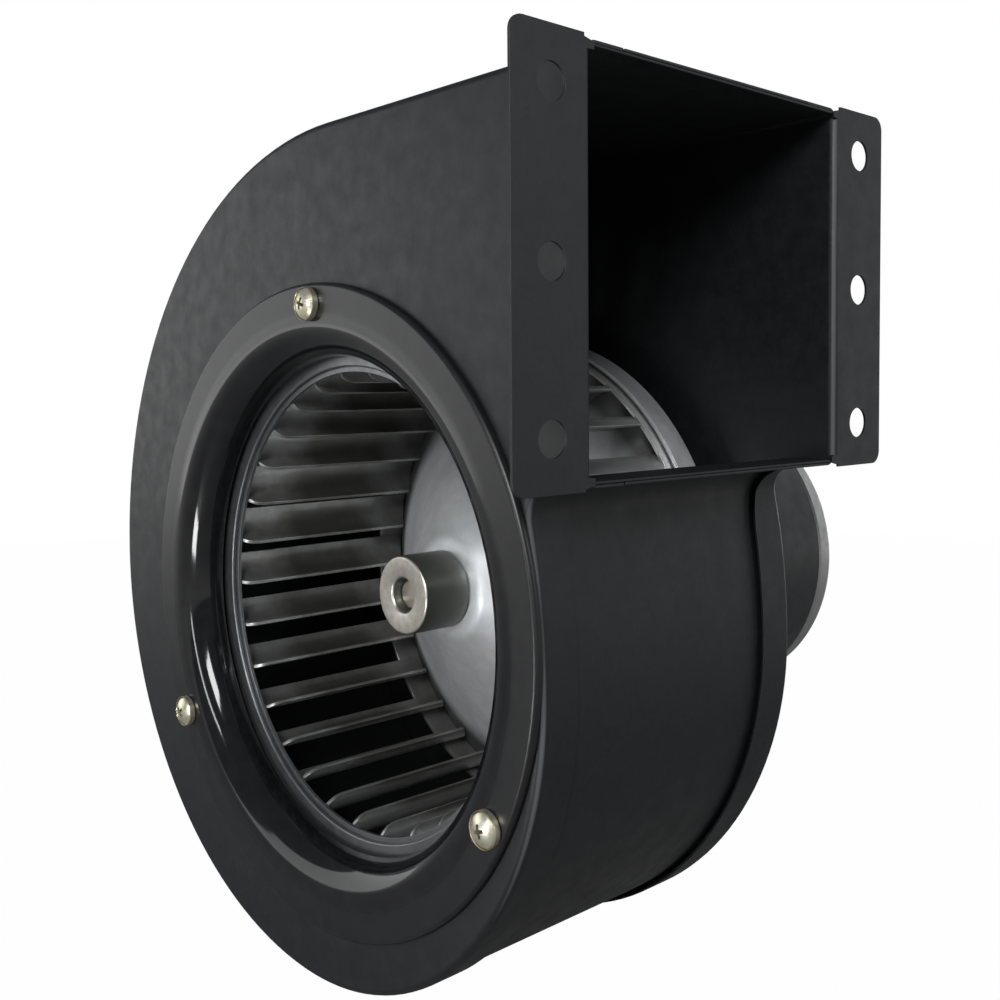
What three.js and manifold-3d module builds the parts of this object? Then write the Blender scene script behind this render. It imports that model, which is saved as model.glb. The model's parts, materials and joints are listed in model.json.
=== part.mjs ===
// Small forward-curved centrifugal blower that feeds air to a burner or boiler.
// +X is the discharge direction, +Y runs along the shaft from the inlet to the motor, +Z is up.
// Every piece is drawn with the origin on the shaft axis, in the outer face of the housing's inlet
// side. The finished group is then moved so that its origin lies on the front outlet flange.
// All lengths are in millimetres.
import * as THREE from "three";
import { mergeVertices } from "three/addons/utils/BufferGeometryUtils.js";
import Module from "manifold-3d";

const wasm = await Module();
wasm.setup();

// ---------------------------------------------------------------- driving dimensions

const GAP = 0.3; // play left between pieces that rest on each other
const FIT = 0.1; // radial play of a bore round its shaft or seat

const SHELL = 1.0; // sheet of the two side shells
const RIM_SHEET = 0.8; // the same sheet, thinned where it is drawn over the wrap
const WRAP_SHEET = 0.8;
const HOUSING_WIDTH = 81.4;
const OUTLET_X = 90.0; // outer face of the outlet flanges

// The scroll is quarter arcs that tighten by equal steps, then a long arc and a concave neck.
const SCROLL_TOP = 114.0;
const SCROLL_LEFT = 102.2;
const SCROLL_BOTTOM = 91.6;
const SCROLL_RIGHT = 76.9;
const TOP_RISE = THREE.MathUtils.degToRad(1.5); // climb of the straight top towards the outlet
const CUTOFF_RADIUS = 165.0; // long arc from the right side up to the neck
const NECK_RADIUS = 6.5;
const NECK_TOP = 34.2; // underside of the outlet duct

const FRONT_RIM_DEPTH = 9.6;
const BACK_RIM_DEPTH = 10.9;
const BACK_OUTSET = 0.7; // the back shell is a loose lid, a little larger than the front one
const EDGE_ROUND = 2.0;
const RIM_RELIEF = 16.0; // the rims taper away over this height below the neck
const RIM_RELIEF_X = 60.0; // and only beyond this distance from the shaft

const FLANGE_WIDTH = 19.5;
const FLANGE_HEIGHT = 83.1;
const FLANGE_CENTRE_Z = 75.25;
const FLANGE_CORNER = 3.0;
const FLANGE_HOLE_RADIUS = 3.5;
const FLANGE_HOLE_PITCH = 31.45;
const FOLD_INNER_RADIUS = 1.0;

const RING_RADIUS = 77.0; // inlet ring, outside
const RING_SHEET = 1.5;
const THROAT_RADIUS = 60.0;
const BELL_RADIUS = 8.0;
const THROAT_END_Y = 8.0;
const FRONT_HOLE_RADIUS = 67.3;
const RING_SCREW_CIRCLE = 72.0;
const RING_SCREW_COUNT = 3;

const WHEEL_RADIUS = 65.0;
const BLADE_COUNT = 30;
const BLADE_INNER_RADIUS = 54.0;
const BLADE_OUTER_RADIUS = 63.4;
const BLADE_LEAD = THREE.MathUtils.degToRad(7.5); // tip ahead of the inner edge
const BLADE_SHEET = 0.9;
const BLADE_PHASE = THREE.MathUtils.degToRad(182.5);
const BLADE_CORNER = 4.5;
const WHEEL_FRONT_Y = 9.3;
const CAGE_FRONT_Y = 10.4;
const BAND_SHEET = 0.9;
const REAR_BAND_START_Y = 62.6;
const DISC_CENTRE_Y = 38.0; // front face of the dished back disc at the hub
const DISC_RIM_Y = 72.3;
const DISC_SHEET = 1.0;
const DISC_FLAT_RADIUS = 13.0;
const DISC_BEAD_WIDTH = 3.6;
const DISC_SKIRT_Y = 65.0; // front edge of the skirt round the cage's rear band

const HUB_RADIUS = 10.0;
const HUB_FRONT_Y = 24.0;
const SPIGOT_RADIUS = 7.0;
const SET_SCREW_Y = 31.0;
const SET_SCREW_RADIUS = 2.4;

const SHAFT_RADIUS = 4.0;
const SHAFT_BODY_RADIUS = 6.0;
const SHAFT_FRONT_Y = 26.6;
const SHAFT_REAR_Y = 147.5;

const BEARING_OUTER_RADIUS = 11.0;
const BEARING_WIDTH = 7.0;
const BEARING_PITCH_RADIUS = 7.5;
const BALL_RADIUS = 1.9;
const BALL_COUNT = 7;
const GROOVE_RADIUS = 2.2;
const FRONT_BEARING_Y = 66.2;
const REAR_BEARING_Y = 139.0;

const MOTOR_RADIUS = 43.4;
const CAN_SHEET = 1.0;
const CAN_FRONT_Y = 86.3;
const CAN_REAR_Y = 146.0;
const COVER_REAR_Y = 153.2;
const BOSS_RADIUS = 16.0;
const BOSS_FRONT_Y = 62.0;
const BRACKET_WEB = 3.5;

const STACK_FRONT_Y = 97.5;
const STACK_REAR_Y = 131.5;
const ROTOR_RADIUS = 24.0;
const AIR_GAP = 0.6;
const BAR_COUNT = 12;
const BAR_CIRCLE = 20.6;
const SLOT_COUNT = 12;
const SLOT_INNER_RADIUS = 27.0;
const SLOT_OUTER_RADIUS = 35.0;
const SLOT_WIDTH = 7.0;
const SLOT_MOUTH = 2.6;
const END_TURN_LENGTH = 7.5;

const TIE_BOLT_CIRCLE = 38.5;
const MOUNT_SCREW_CIRCLE = 30.0;
const MOTOR_SCREW_COUNT = 4;
const M4_RADIUS = 1.9;
const M4_CLEARANCE_RADIUS = 2.3;
const PAN_HEAD_RADIUS = 4.0;
const PAN_HEAD_HEIGHT = 2.7;

const CABLE_Y = 137.0;
const CABLE_RADIUS = 3.0;
const CABLE_DROP = 50.0;
const CORE_RADIUS = 0.9;
const CORE_LENGTH = 16.0;

const LARGE = 40; // sides of a round piece as large as the wheel
const MOTOR = 30; // as large as the motor
const MEDIUM = 20; // as large as the hub or a bearing
const SMALL = 10; // as large as a screw

// ---------------------------------------------------------------- solids and booleans

// A closed geometry as a manifold solid, turned inside out if its faces point inwards.
function solid(geometry) {
  const bare = geometry.clone();
  bare.deleteAttribute("normal");
  bare.deleteAttribute("uv");
  const merged = mergeVertices(bare, 1e-4);
  const build = (triVerts) => new wasm.Manifold(new wasm.Mesh({
    numProp: 3,
    vertProperties: merged.attributes.position.array,
    triVerts,
  }));
  const triangles = new Uint32Array(merged.index.array);
  const first = build(triangles);
  if (first.volume() > 0) return first;
  for (let i = 0; i < triangles.length; i += 3) {
    [triangles[i + 1], triangles[i + 2]] = [triangles[i + 2], triangles[i + 1]];
  }
  return build(triangles);
}

const join = (...solids) => solids.reduce((sum, next) => sum.add(next));
const cut = (body, ...tools) => tools.reduce((rest, tool) => rest.subtract(tool), body);

function meshOf(name, body, material) {
  const made = body.getMesh();
  const positions = new Float32Array(made.numVert * 3);
  for (let i = 0; i < made.numVert; i++) {
    for (let k = 0; k < 3; k++) positions[3 * i + k] = made.vertProperties[made.numProp * i + k];
  }
  const geometry = new THREE.BufferGeometry();
  geometry.setAttribute("position", new THREE.BufferAttribute(positions, 3));
  geometry.setIndex(new THREE.BufferAttribute(made.triVerts, 1));
  geometry.computeVertexNormals();
  const mesh = new THREE.Mesh(geometry, material);
  mesh.name = name;
  return mesh;
}

const X = new THREE.Vector3(1, 0, 0);
const Y = new THREE.Vector3(0, 1, 0);
const Z = new THREE.Vector3(0, 0, 1);

// A shape drawn in (x, z) and filled from y0 to y1.
function slabY(shape, y0, y1, options = {}) {
  const bevel = options.bevelThickness ?? 0;
  const depth = y1 - y0 - 2 * bevel;
  const geometry = new THREE.ExtrudeGeometry(shape, { bevelEnabled: false, ...options, depth });
  geometry.applyMatrix4(new THREE.Matrix4().makeBasis(X, Z, Y.clone().negate()));
  return solid(geometry.translate(0, y1 - bevel, 0));
}

// A shape drawn in (y, z) and filled from x0 to x1.
function slabX(shape, x0, x1, curveSegments) {
  const geometry = new THREE.ExtrudeGeometry(shape, { bevelEnabled: false, depth: x1 - x0, curveSegments });
  geometry.applyMatrix4(new THREE.Matrix4().makeBasis(Y, Z, X));
  return solid(geometry.translate(x0, 0, 0));
}

// A shape drawn in (x, y) and filled from z0 to z1.
function slabZ(shape, z0, z1, curveSegments) {
  const geometry = new THREE.ExtrudeGeometry(shape, { bevelEnabled: false, depth: z1 - z0, curveSegments });
  return solid(geometry.translate(0, 0, z0));
}

function box(x0, x1, y0, y1, z0, z1) {
  const geometry = new THREE.BoxGeometry(x1 - x0, y1 - y0, z1 - z0);
  return solid(geometry.translate((x0 + x1) / 2, (y0 + y1) / 2, (z0 + z1) / 2));
}

// Points of a quarter-like arc in a turned profile, both ends included.
function arcPoints(centreR, centreY, radius, fromDegrees, toDegrees, steps) {
  const points = [];
  for (let i = 0; i <= steps; i++) {
    const angle = THREE.MathUtils.degToRad(fromDegrees + ((toDegrees - fromDegrees) * i) / steps);
    points.push([centreR + radius * Math.cos(angle), centreY + radius * Math.sin(angle)]);
  }
  return points;
}

// A profile of [radius, y] points turned about the Y axis. A profile off the axis is closed.
function turned(profile, segments) {
  const points = profile.map(([r, y]) => new THREE.Vector2(r, y));
  const onAxis = profile[0][0] === 0 && profile.at(-1)[0] === 0;
  if (!onAxis) points.push(points[0].clone());
  return solid(new THREE.LatheGeometry(points, segments));
}

const rod = (radius, y0, y1, segments) => turned([[0, y0], [radius, y0], [radius, y1], [0, y1]], segments);
const tube = (inner, outer, y0, y1, segments) =>
  turned([[inner, y0], [outer, y0], [outer, y1], [inner, y1]], segments);

// The angle of the k-th of count places round the shaft, measured from +X towards +Z.
const placeAngle = (k, count, start) => start + (k * 2 * Math.PI) / count;
const onCircle = (body, radius, angle) =>
  body.translate([radius * Math.cos(angle), 0, radius * Math.sin(angle)]);

// ---------------------------------------------------------------- scroll outline

function scrollArcs() {
  const step = (SCROLL_TOP + SCROLL_BOTTOM - SCROLL_LEFT - SCROLL_RIGHT) / 2;
  const radius = (SCROLL_TOP + SCROLL_BOTTOM + step) / 2;
  const x = radius - SCROLL_LEFT;
  const z = SCROLL_TOP - radius;
  return [
    { x, z, r: radius },
    { x: x - step, z, r: radius - step },
    { x: x - step, z: z - step, r: radius - 2 * step },
  ];
}

// The point where the top's straight run leaves the first arc, and the run's height at a given x.
function topTangent(inset) {
  const [upper] = scrollArcs();
  const radius = upper.r - inset;
  return { x: upper.x - radius * Math.sin(TOP_RISE), z: upper.z + radius * Math.cos(TOP_RISE) };
}

function topHeight(x, inset) {
  const start = topTangent(inset);
  return start.z + (x - start.x) * Math.tan(TOP_RISE);
}

// The scroll's outline seen from the inlet, moved inwards by inset and open towards outletX.
function scrollShape(inset, outletX) {
  const [upper, left, lower] = scrollArcs();
  const tangent = topTangent(inset);
  const right = { x: lower.x + lower.r - CUTOFF_RADIUS, z: lower.z };
  const neckZ = NECK_TOP - NECK_RADIUS;
  const reach = CUTOFF_RADIUS + NECK_RADIUS;
  const neckX = right.x + Math.sqrt(reach ** 2 - (neckZ - right.z) ** 2);
  const neckAngle = Math.atan2(neckZ - right.z, neckX - right.x);
  const shape = new THREE.Shape();
  shape.moveTo(outletX, topHeight(outletX, inset));
  shape.lineTo(tangent.x, tangent.z);
  shape.absarc(upper.x, upper.z, upper.r - inset, Math.PI / 2 + TOP_RISE, Math.PI, false);
  shape.absarc(left.x, left.z, left.r - inset, Math.PI, 1.5 * Math.PI, false);
  shape.absarc(lower.x, lower.z, lower.r - inset, -Math.PI / 2, 0, false);
  shape.absarc(right.x, right.z, CUTOFF_RADIUS - inset, 0, neckAngle, false);
  shape.absarc(neckX, neckZ, NECK_RADIUS + inset, neckAngle + Math.PI, Math.PI / 2, true);
  shape.lineTo(outletX, NECK_TOP + inset);
  return shape;
}

const SCROLL_ARC_STEPS = 5; // half the number of sides on each arc of the scroll

const scrollSlab = (inset, outletX, y0, y1) =>
  slabY(scrollShape(inset, outletX), y0, y1, { curveSegments: SCROLL_ARC_STEPS });

// ---------------------------------------------------------------- housing

// The outlet flange and its fold. It is drawn for the front shell, whose outer face is at y = 0.
function frontFlange() {
  const bottom = FLANGE_CENTRE_Z - FLANGE_HEIGHT / 2;
  const top = FLANGE_CENTRE_Z + FLANGE_HEIGHT / 2;
  const cornerY = -FLANGE_WIDTH + FLANGE_CORNER;
  const outline = new THREE.Shape();
  outline.moveTo(-FOLD_INNER_RADIUS, bottom);
  outline.lineTo(-FOLD_INNER_RADIUS, top);
  outline.lineTo(cornerY, top);
  outline.absarc(cornerY, top - FLANGE_CORNER, FLANGE_CORNER, Math.PI / 2, Math.PI, false);
  outline.lineTo(-FLANGE_WIDTH, bottom + FLANGE_CORNER);
  outline.absarc(cornerY, bottom + FLANGE_CORNER, FLANGE_CORNER, Math.PI, 1.5 * Math.PI, false);
  for (const step of [-1, 0, 1]) {
    const hole = new THREE.Path();
    const z = FLANGE_CENTRE_Z + step * FLANGE_HOLE_PITCH;
    hole.absarc(-FLANGE_WIDTH / 2, z, FLANGE_HOLE_RADIUS, 0, 2 * Math.PI, true);
    outline.holes.push(hole);
  }
  const foldX = OUTLET_X - SHELL - FOLD_INNER_RADIUS;
  const fold = new THREE.Shape();
  fold.absarc(foldX, -FOLD_INNER_RADIUS, FOLD_INNER_RADIUS + SHELL, Math.PI / 2, 0, true);
  fold.absarc(foldX, -FOLD_INNER_RADIUS, FOLD_INNER_RADIUS, 0, Math.PI / 2, false);
  return join(
    slabX(outline, OUTLET_X - SHELL, OUTLET_X, 8),
    slabZ(fold, NECK_TOP, topHeight(OUTLET_X, 0), 3),
  );
}

// A wedge that takes a rim away below the neck. The rim keeps its full depth at the wedge's foot.
function rimRelief(depth) {
  const wedge = new THREE.Shape();
  wedge.moveTo(EDGE_ROUND, NECK_TOP - GAP);
  wedge.lineTo(depth + 1, NECK_TOP - GAP);
  wedge.lineTo(depth + 1, NECK_TOP - RIM_RELIEF);
  return slabX(wedge, RIM_RELIEF_X, OUTLET_X, 1);
}

// One side shell as if its outer face were at y = 0: plate, drawn rim, fold and flange.
function sideShell(outset, rimDepth) {
  const foldX = OUTLET_X - SHELL - FOLD_INNER_RADIUS;
  const beyond = OUTLET_X + FLANGE_WIDTH;
  const rounded = slabY(scrollShape(-outset, beyond), 0, rimDepth + 2 * EDGE_ROUND, {
    curveSegments: SCROLL_ARC_STEPS,
    bevelEnabled: true,
    bevelThickness: EDGE_ROUND,
    bevelSize: EDGE_ROUND,
    bevelOffset: -EDGE_ROUND,
    bevelSegments: 2,
  });
  const far = 2 * SCROLL_TOP;
  const body = cut(
    rounded,
    box(-far, far, rimDepth, far, -far, far),
    scrollSlab(RIM_SHEET - outset, 2 * beyond, SHELL, far),
    box(foldX, far, -1, SHELL, -far, far),
    box(OUTLET_X, far, -1, far, -far, far),
  );
  return join(cut(body, rimRelief(rimDepth)), frontFlange());
}

function frontShell(material) {
  let shell = cut(sideShell(0, FRONT_RIM_DEPTH), rod(FRONT_HOLE_RADIUS, -1, SHELL + 1, LARGE));
  for (let k = 0; k < RING_SCREW_COUNT; k++) {
    const angle = placeAngle(k, RING_SCREW_COUNT, Math.PI / 2);
    shell = cut(shell, onCircle(rod(M4_CLEARANCE_RADIUS, -1, SHELL + 1, SMALL), RING_SCREW_CIRCLE, angle));
  }
  return meshOf("front_shell", shell, material);
}

function backShell(material) {
  let shell = sideShell(BACK_OUTSET, BACK_RIM_DEPTH).mirror([0, 1, 0]).translate([0, HOUSING_WIDTH, 0]);
  const near = HOUSING_WIDTH - SHELL - 1;
  const far = HOUSING_WIDTH + 1;
  shell = cut(shell, rod(BOSS_RADIUS + 1, near, far, MEDIUM));
  for (let k = 0; k < MOTOR_SCREW_COUNT; k++) {
    const angle = placeAngle(k, MOTOR_SCREW_COUNT, Math.PI / 4);
    shell = cut(shell, onCircle(rod(M4_CLEARANCE_RADIUS, near, far, SMALL), MOUNT_SCREW_CIRCLE, angle));
  }
  return meshOf("back_shell", shell, material);
}

function scrollWrap(material) {
  const outside = RIM_SHEET + FIT;
  const y0 = SHELL + GAP;
  const y1 = HOUSING_WIDTH - SHELL - GAP;
  const band = cut(
    scrollSlab(outside, OUTLET_X - GAP, y0, y1),
    scrollSlab(outside + WRAP_SHEET, OUTLET_X + 1, y0 - 1, y1 + 1),
  );
  return meshOf("scroll_wrap", band, material);
}

// ---------------------------------------------------------------- inlet ring and screws

function inletRing(material) {
  const back = -GAP;
  const front = back - RING_SHEET;
  const bellR = THROAT_RADIUS + BELL_RADIUS;
  const bellY = front + BELL_RADIUS;
  const edge = 1.0;
  const profile = [
    [RING_RADIUS, back],
    ...arcPoints(RING_RADIUS - edge, front + edge, edge, 0, -90, 1),
    ...arcPoints(bellR, bellY, BELL_RADIUS, -90, -180, 5),
    [THROAT_RADIUS, THROAT_END_Y],
    [THROAT_RADIUS + 1, THROAT_END_Y],
    ...arcPoints(bellR, bellY, BELL_RADIUS - 1, -180, -120, 2),
    [bellR, back],
  ];
  let ring = turned(profile, LARGE);
  for (let k = 0; k < RING_SCREW_COUNT; k++) {
    const angle = placeAngle(k, RING_SCREW_COUNT, Math.PI / 2);
    ring = cut(ring, onCircle(rod(M4_CLEARANCE_RADIUS, front - 1, 1, SMALL), RING_SCREW_CIRCLE, angle));
  }
  return meshOf("inlet_ring", ring, material);
}

// A pan-head screw with a cross recess. Its head's top is at y = 0 and its shank points to +Y.
function panHeadScrew(shankLength) {
  const crown = 1.2;
  const end = PAN_HEAD_HEIGHT + shankLength;
  const body = turned([
    [0, 0],
    [PAN_HEAD_RADIUS * 0.7, 0.3],
    [PAN_HEAD_RADIUS, crown],
    [PAN_HEAD_RADIUS, PAN_HEAD_HEIGHT],
    [M4_RADIUS, PAN_HEAD_HEIGHT],
    [M4_RADIUS, end],
    [0, end],
  ], SMALL);
  const arm = 2.1;
  const half = 0.4;
  const deep = 1.6;
  return cut(body, box(-arm, arm, -1, deep, -half, half), box(-half, half, -1, deep, -arm, arm));
}

function inletRingScrews(material) {
  const seat = -GAP - RING_SHEET - FIT;
  const screws = [];
  for (let k = 0; k < RING_SCREW_COUNT; k++) {
    const angle = placeAngle(k, RING_SCREW_COUNT, Math.PI / 2);
    const screw = panHeadScrew(7).rotate([0, 30 * k, 0]).translate([0, seat - PAN_HEAD_HEIGHT, 0]);
    screws.push(meshOf(`inlet_ring_screw_${k + 1}`, onCircle(screw, RING_SCREW_CIRCLE, angle), material));
  }
  return screws;
}

// ---------------------------------------------------------------- impeller

// Front face of the dished back disc at radius r.
const DISC_SLOPE = (DISC_RIM_Y - DISC_CENTRE_Y) / (WHEEL_RADIUS - DISC_FLAT_RADIUS);
const discFront = (r) => DISC_CENTRE_Y + DISC_SLOPE * Math.max(0, r - DISC_FLAT_RADIUS);

// One blade's section seen from the inlet. It leaves the inner radius radially and curls forwards,
// which is clockwise, so its tip lies at a smaller angle than its inner edge.
function bladeShape() {
  const tipRadius = BLADE_OUTER_RADIUS - 0.2;
  const tipR = tipRadius * Math.cos(BLADE_LEAD) - BLADE_INNER_RADIUS;
  const tipT = tipRadius * Math.sin(BLADE_LEAD);
  const radius = (tipR ** 2 + tipT ** 2) / (2 * tipT);
  const tipAngle = Math.atan2(tipT - radius, tipR);
  const centreX = BLADE_INNER_RADIUS;
  const centreZ = -radius;
  const shape = new THREE.Shape();
  shape.absarc(centreX, centreZ, radius, Math.PI / 2, -tipAngle, true);
  shape.absarc(centreX, centreZ, radius - BLADE_SHEET, -tipAngle, Math.PI / 2, false);
  return shape;
}

// A turned piece with one side to each blade, placed so that no blade crosses a corner of it.
function turnedWithBlades(profile) {
  const firstCorner = 90;
  const tipAngle = THREE.MathUtils.radToDeg(BLADE_PHASE - BLADE_LEAD);
  return turned(profile, BLADE_COUNT).rotate([0, firstCorner - tipAngle, 0]);
}

// Blades and the two bands that join them, pressed from one strip.
function bladeCage(material) {
  const bandEnd = CAGE_FRONT_Y + BAND_SHEET;
  const rearBandEnd = DISC_RIM_Y - DISC_SHEET - 3 * GAP;
  const blade = slabY(bladeShape(), CAGE_FRONT_Y + BAND_SHEET / 2, DISC_RIM_Y, { curveSegments: 2 });
  const blades = [];
  for (let k = 0; k < BLADE_COUNT; k++) {
    const angle = placeAngle(k, BLADE_COUNT, BLADE_PHASE);
    blades.push(blade.rotate([0, -THREE.MathUtils.radToDeg(angle), 0]));
  }
  const corner = turnedWithBlades([
    [BLADE_INNER_RADIUS - 1, CAGE_FRONT_Y],
    [BLADE_INNER_RADIUS + BLADE_CORNER, CAGE_FRONT_Y],
    ...arcPoints(BLADE_INNER_RADIUS + BLADE_CORNER, bandEnd + BLADE_CORNER, BLADE_CORNER, -90, -180, 2),
    [BLADE_INNER_RADIUS - 1, bandEnd + BLADE_CORNER],
  ]);
  const band = (inner, y0, y1) => turnedWithBlades([
    [inner, y0],
    [BLADE_OUTER_RADIUS, y0],
    [BLADE_OUTER_RADIUS, y1],
    [inner, y1],
  ]);
  const discRoom = turnedWithBlades([
    [0, DISC_CENTRE_Y - 2 * GAP],
    [DISC_FLAT_RADIUS, DISC_CENTRE_Y - 2 * GAP],
    [WHEEL_RADIUS + 1, discFront(WHEEL_RADIUS + 1) - 2 * GAP],
    [WHEEL_RADIUS + 1, DISC_RIM_Y + 1],
    [0, DISC_RIM_Y + 1],
  ]);
  const cage = join(
    cut(wasm.Manifold.union(blades), corner),
    band(BLADE_INNER_RADIUS + BLADE_CORNER / 2, CAGE_FRONT_Y, bandEnd),
    band(BLADE_OUTER_RADIUS - BAND_SHEET, REAR_BAND_START_Y, rearBandEnd),
  );
  return meshOf("impeller_blade_cage", cut(cage, discRoom), material);
}

// The front ring is a shallow cap over the cage's front band.
function impellerFrontRing(material) {
  const innerR = BLADE_INNER_RADIUS + 3.5;
  const skirtEnd = CAGE_FRONT_Y + 5;
  const under = CAGE_FRONT_Y - FIT;
  const ring = turned([
    [innerR, WHEEL_FRONT_Y + 0.4],
    [innerR + 0.6, WHEEL_FRONT_Y],
    ...arcPoints(WHEEL_RADIUS - 1.2, WHEEL_FRONT_Y + 1.2, 1.2, -90, 0, 2),
    [WHEEL_RADIUS, skirtEnd],
    [BLADE_OUTER_RADIUS + GAP, skirtEnd],
    [BLADE_OUTER_RADIUS + GAP, under],
    [innerR, under],
  ], LARGE);
  return meshOf("impeller_front_ring", ring, material);
}

function impellerBackDisc(material) {
  const beadR = WHEEL_RADIUS - DISC_BEAD_WIDTH;
  const skirtR = BLADE_OUTER_RADIUS + GAP;
  const thick = DISC_SHEET * 1.2;
  const disc = turned([
    [SPIGOT_RADIUS + GAP, DISC_CENTRE_Y],
    [DISC_FLAT_RADIUS, DISC_CENTRE_Y],
    [beadR, discFront(beadR)],
    [skirtR, DISC_RIM_Y - DISC_SHEET],
    [skirtR, DISC_SKIRT_Y],
    [WHEEL_RADIUS, DISC_SKIRT_Y],
    [WHEEL_RADIUS, DISC_RIM_Y - 0.6],
    [WHEEL_RADIUS - 0.4, DISC_RIM_Y],
    [beadR, DISC_RIM_Y],
    [DISC_FLAT_RADIUS, DISC_CENTRE_Y + thick],
    [SPIGOT_RADIUS + GAP, DISC_CENTRE_Y + thick],
  ], LARGE);
  return meshOf("impeller_back_disc", disc, material);
}

// Hub with a shoulder in front of the disc and a spigot staked over behind it.
function impellerHub(material) {
  const bore = SHAFT_RADIUS + FIT;
  const chamfer = 0.8;
  const shoulderY = DISC_CENTRE_Y - GAP;
  const lipY = DISC_CENTRE_Y + 1.2 * DISC_SHEET + GAP;
  const rearY = lipY + 1.8;
  const body = turned([
    [bore, HUB_FRONT_Y + chamfer],
    [bore + chamfer, HUB_FRONT_Y],
    [HUB_RADIUS - 0.6, HUB_FRONT_Y],
    [HUB_RADIUS, HUB_FRONT_Y + 0.6],
    [HUB_RADIUS, shoulderY],
    [SPIGOT_RADIUS, shoulderY],
    [SPIGOT_RADIUS, lipY],
    [SPIGOT_RADIUS + 1.6, lipY],
    [SPIGOT_RADIUS + 0.8, rearY],
    [bore, rearY],
  ], MEDIUM);
  const hole = rod(SET_SCREW_RADIUS + FIT, 0, HUB_RADIUS + 1, SMALL).rotate([0, 0, 90]);
  return meshOf("impeller_hub", cut(body, hole.translate([0, SET_SCREW_Y, 0])), material);
}

// Headless screw that bears on the shaft's flat, in the hub's -X side.
function hubSetScrew(material) {
  const body = rod(SET_SCREW_RADIUS, SHAFT_RADIUS - 0.3, HUB_RADIUS - 0.4, SMALL);
  const socket = rod(1.2, HUB_RADIUS - 2.4, HUB_RADIUS, 6);
  const screw = cut(body, socket).rotate([0, 0, 90]).translate([0, SET_SCREW_Y, 0]);
  return meshOf("hub_set_screw", screw, material);
}

// ---------------------------------------------------------------- shaft, rotor and bearings

function motorShaft(material) {
  const chamfer = 0.6;
  const shoulderFront = FRONT_BEARING_Y + BEARING_WIDTH + GAP;
  const shoulderRear = REAR_BEARING_Y - GAP;
  const body = turned([
    [0, SHAFT_FRONT_Y],
    [SHAFT_RADIUS - chamfer, SHAFT_FRONT_Y],
    [SHAFT_RADIUS, SHAFT_FRONT_Y + chamfer],
    [SHAFT_RADIUS, shoulderFront],
    [SHAFT_BODY_RADIUS, shoulderFront],
    [SHAFT_BODY_RADIUS, shoulderRear],
    [SHAFT_RADIUS, shoulderRear],
    [SHAFT_RADIUS, SHAFT_REAR_Y],
    [0, SHAFT_REAR_Y],
  ], MEDIUM);
  const wide = 2 * SHAFT_RADIUS;
  const flat = box(-wide, -SHAFT_RADIUS + 0.5, SHAFT_FRONT_Y - 1, SET_SCREW_Y + 6, -wide, wide);
  return meshOf("motor_shaft", cut(body, flat), material);
}

function rotorCore(material) {
  let core = tube(SHAFT_BODY_RADIUS + FIT, ROTOR_RADIUS, STACK_FRONT_Y, STACK_REAR_Y, MEDIUM);
  for (let k = 0; k < BAR_COUNT; k++) {
    const slot = rod(2.0, STACK_FRONT_Y - 1, STACK_REAR_Y + 1, 6);
    core = cut(core, onCircle(slot, BAR_CIRCLE, placeAngle(k, BAR_COUNT, 0)));
  }
  return meshOf("rotor_core", core, material);
}

// Cast squirrel cage: two end rings joined by bars that run through the core.
function rotorCage(material) {
  const ringLength = 4.5;
  const inner = BAR_CIRCLE - 3.4;
  const outer = BAR_CIRCLE + 2.6;
  const front = tube(inner, outer, STACK_FRONT_Y - GAP - ringLength, STACK_FRONT_Y - GAP, MEDIUM);
  const rear = tube(inner, outer, STACK_REAR_Y + GAP, STACK_REAR_Y + GAP + ringLength, MEDIUM);
  const bars = [];
  for (let k = 0; k < BAR_COUNT; k++) {
    const bar = rod(1.5, STACK_FRONT_Y - 1, STACK_REAR_Y + 1, 6);
    bars.push(onCircle(bar, BAR_CIRCLE, placeAngle(k, BAR_COUNT, 0)));
  }
  return meshOf("rotor_cage", join(front, rear, ...bars), material);
}

// The three pieces of a deep-groove ball bearing whose front face is at y0.
function ballBearing(prefix, y0, steel, cageSteel) {
  const middle = y0 + BEARING_WIDTH / 2;
  const end = y0 + BEARING_WIDTH;
  const innerLand = BEARING_PITCH_RADIUS - 1.45;
  const outerLand = BEARING_PITCH_RADIUS + 1.45;
  const reach = THREE.MathUtils.radToDeg(Math.acos((BEARING_PITCH_RADIUS - innerLand) / GROOVE_RADIUS));
  const inner = turned([
    [SHAFT_RADIUS + FIT, y0],
    [innerLand, y0],
    ...arcPoints(BEARING_PITCH_RADIUS, middle, GROOVE_RADIUS, 180 + reach, 180 - reach, 2),
    [innerLand, end],
    [SHAFT_RADIUS + FIT, end],
  ], MEDIUM);
  const outer = turned([
    [BEARING_OUTER_RADIUS, y0],
    [BEARING_OUTER_RADIUS, end],
    [outerLand, end],
    ...arcPoints(BEARING_PITCH_RADIUS, middle, GROOVE_RADIUS, reach, -reach, 2),
    [outerLand, y0],
  ], MEDIUM);
  const cageSides = 2 * BALL_COUNT;
  const cageInner = BEARING_PITCH_RADIUS - 0.4;
  let balls = tube(cageInner, cageInner + 0.8, middle - 0.9, middle + 0.9, cageSides);
  for (let k = 0; k < BALL_COUNT; k++) {
    const ball = solid(new THREE.OctahedronGeometry(BALL_RADIUS, 1)).translate([0, middle, 0]);
    balls = join(balls, onCircle(ball, BEARING_PITCH_RADIUS, placeAngle(k, BALL_COUNT, 0)));
  }
  return [
    meshOf(`${prefix}_inner_ring`, inner, steel),
    meshOf(`${prefix}_outer_ring`, outer, steel),
    meshOf(`${prefix}_ball_set`, balls, cageSteel),
  ];
}

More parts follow.
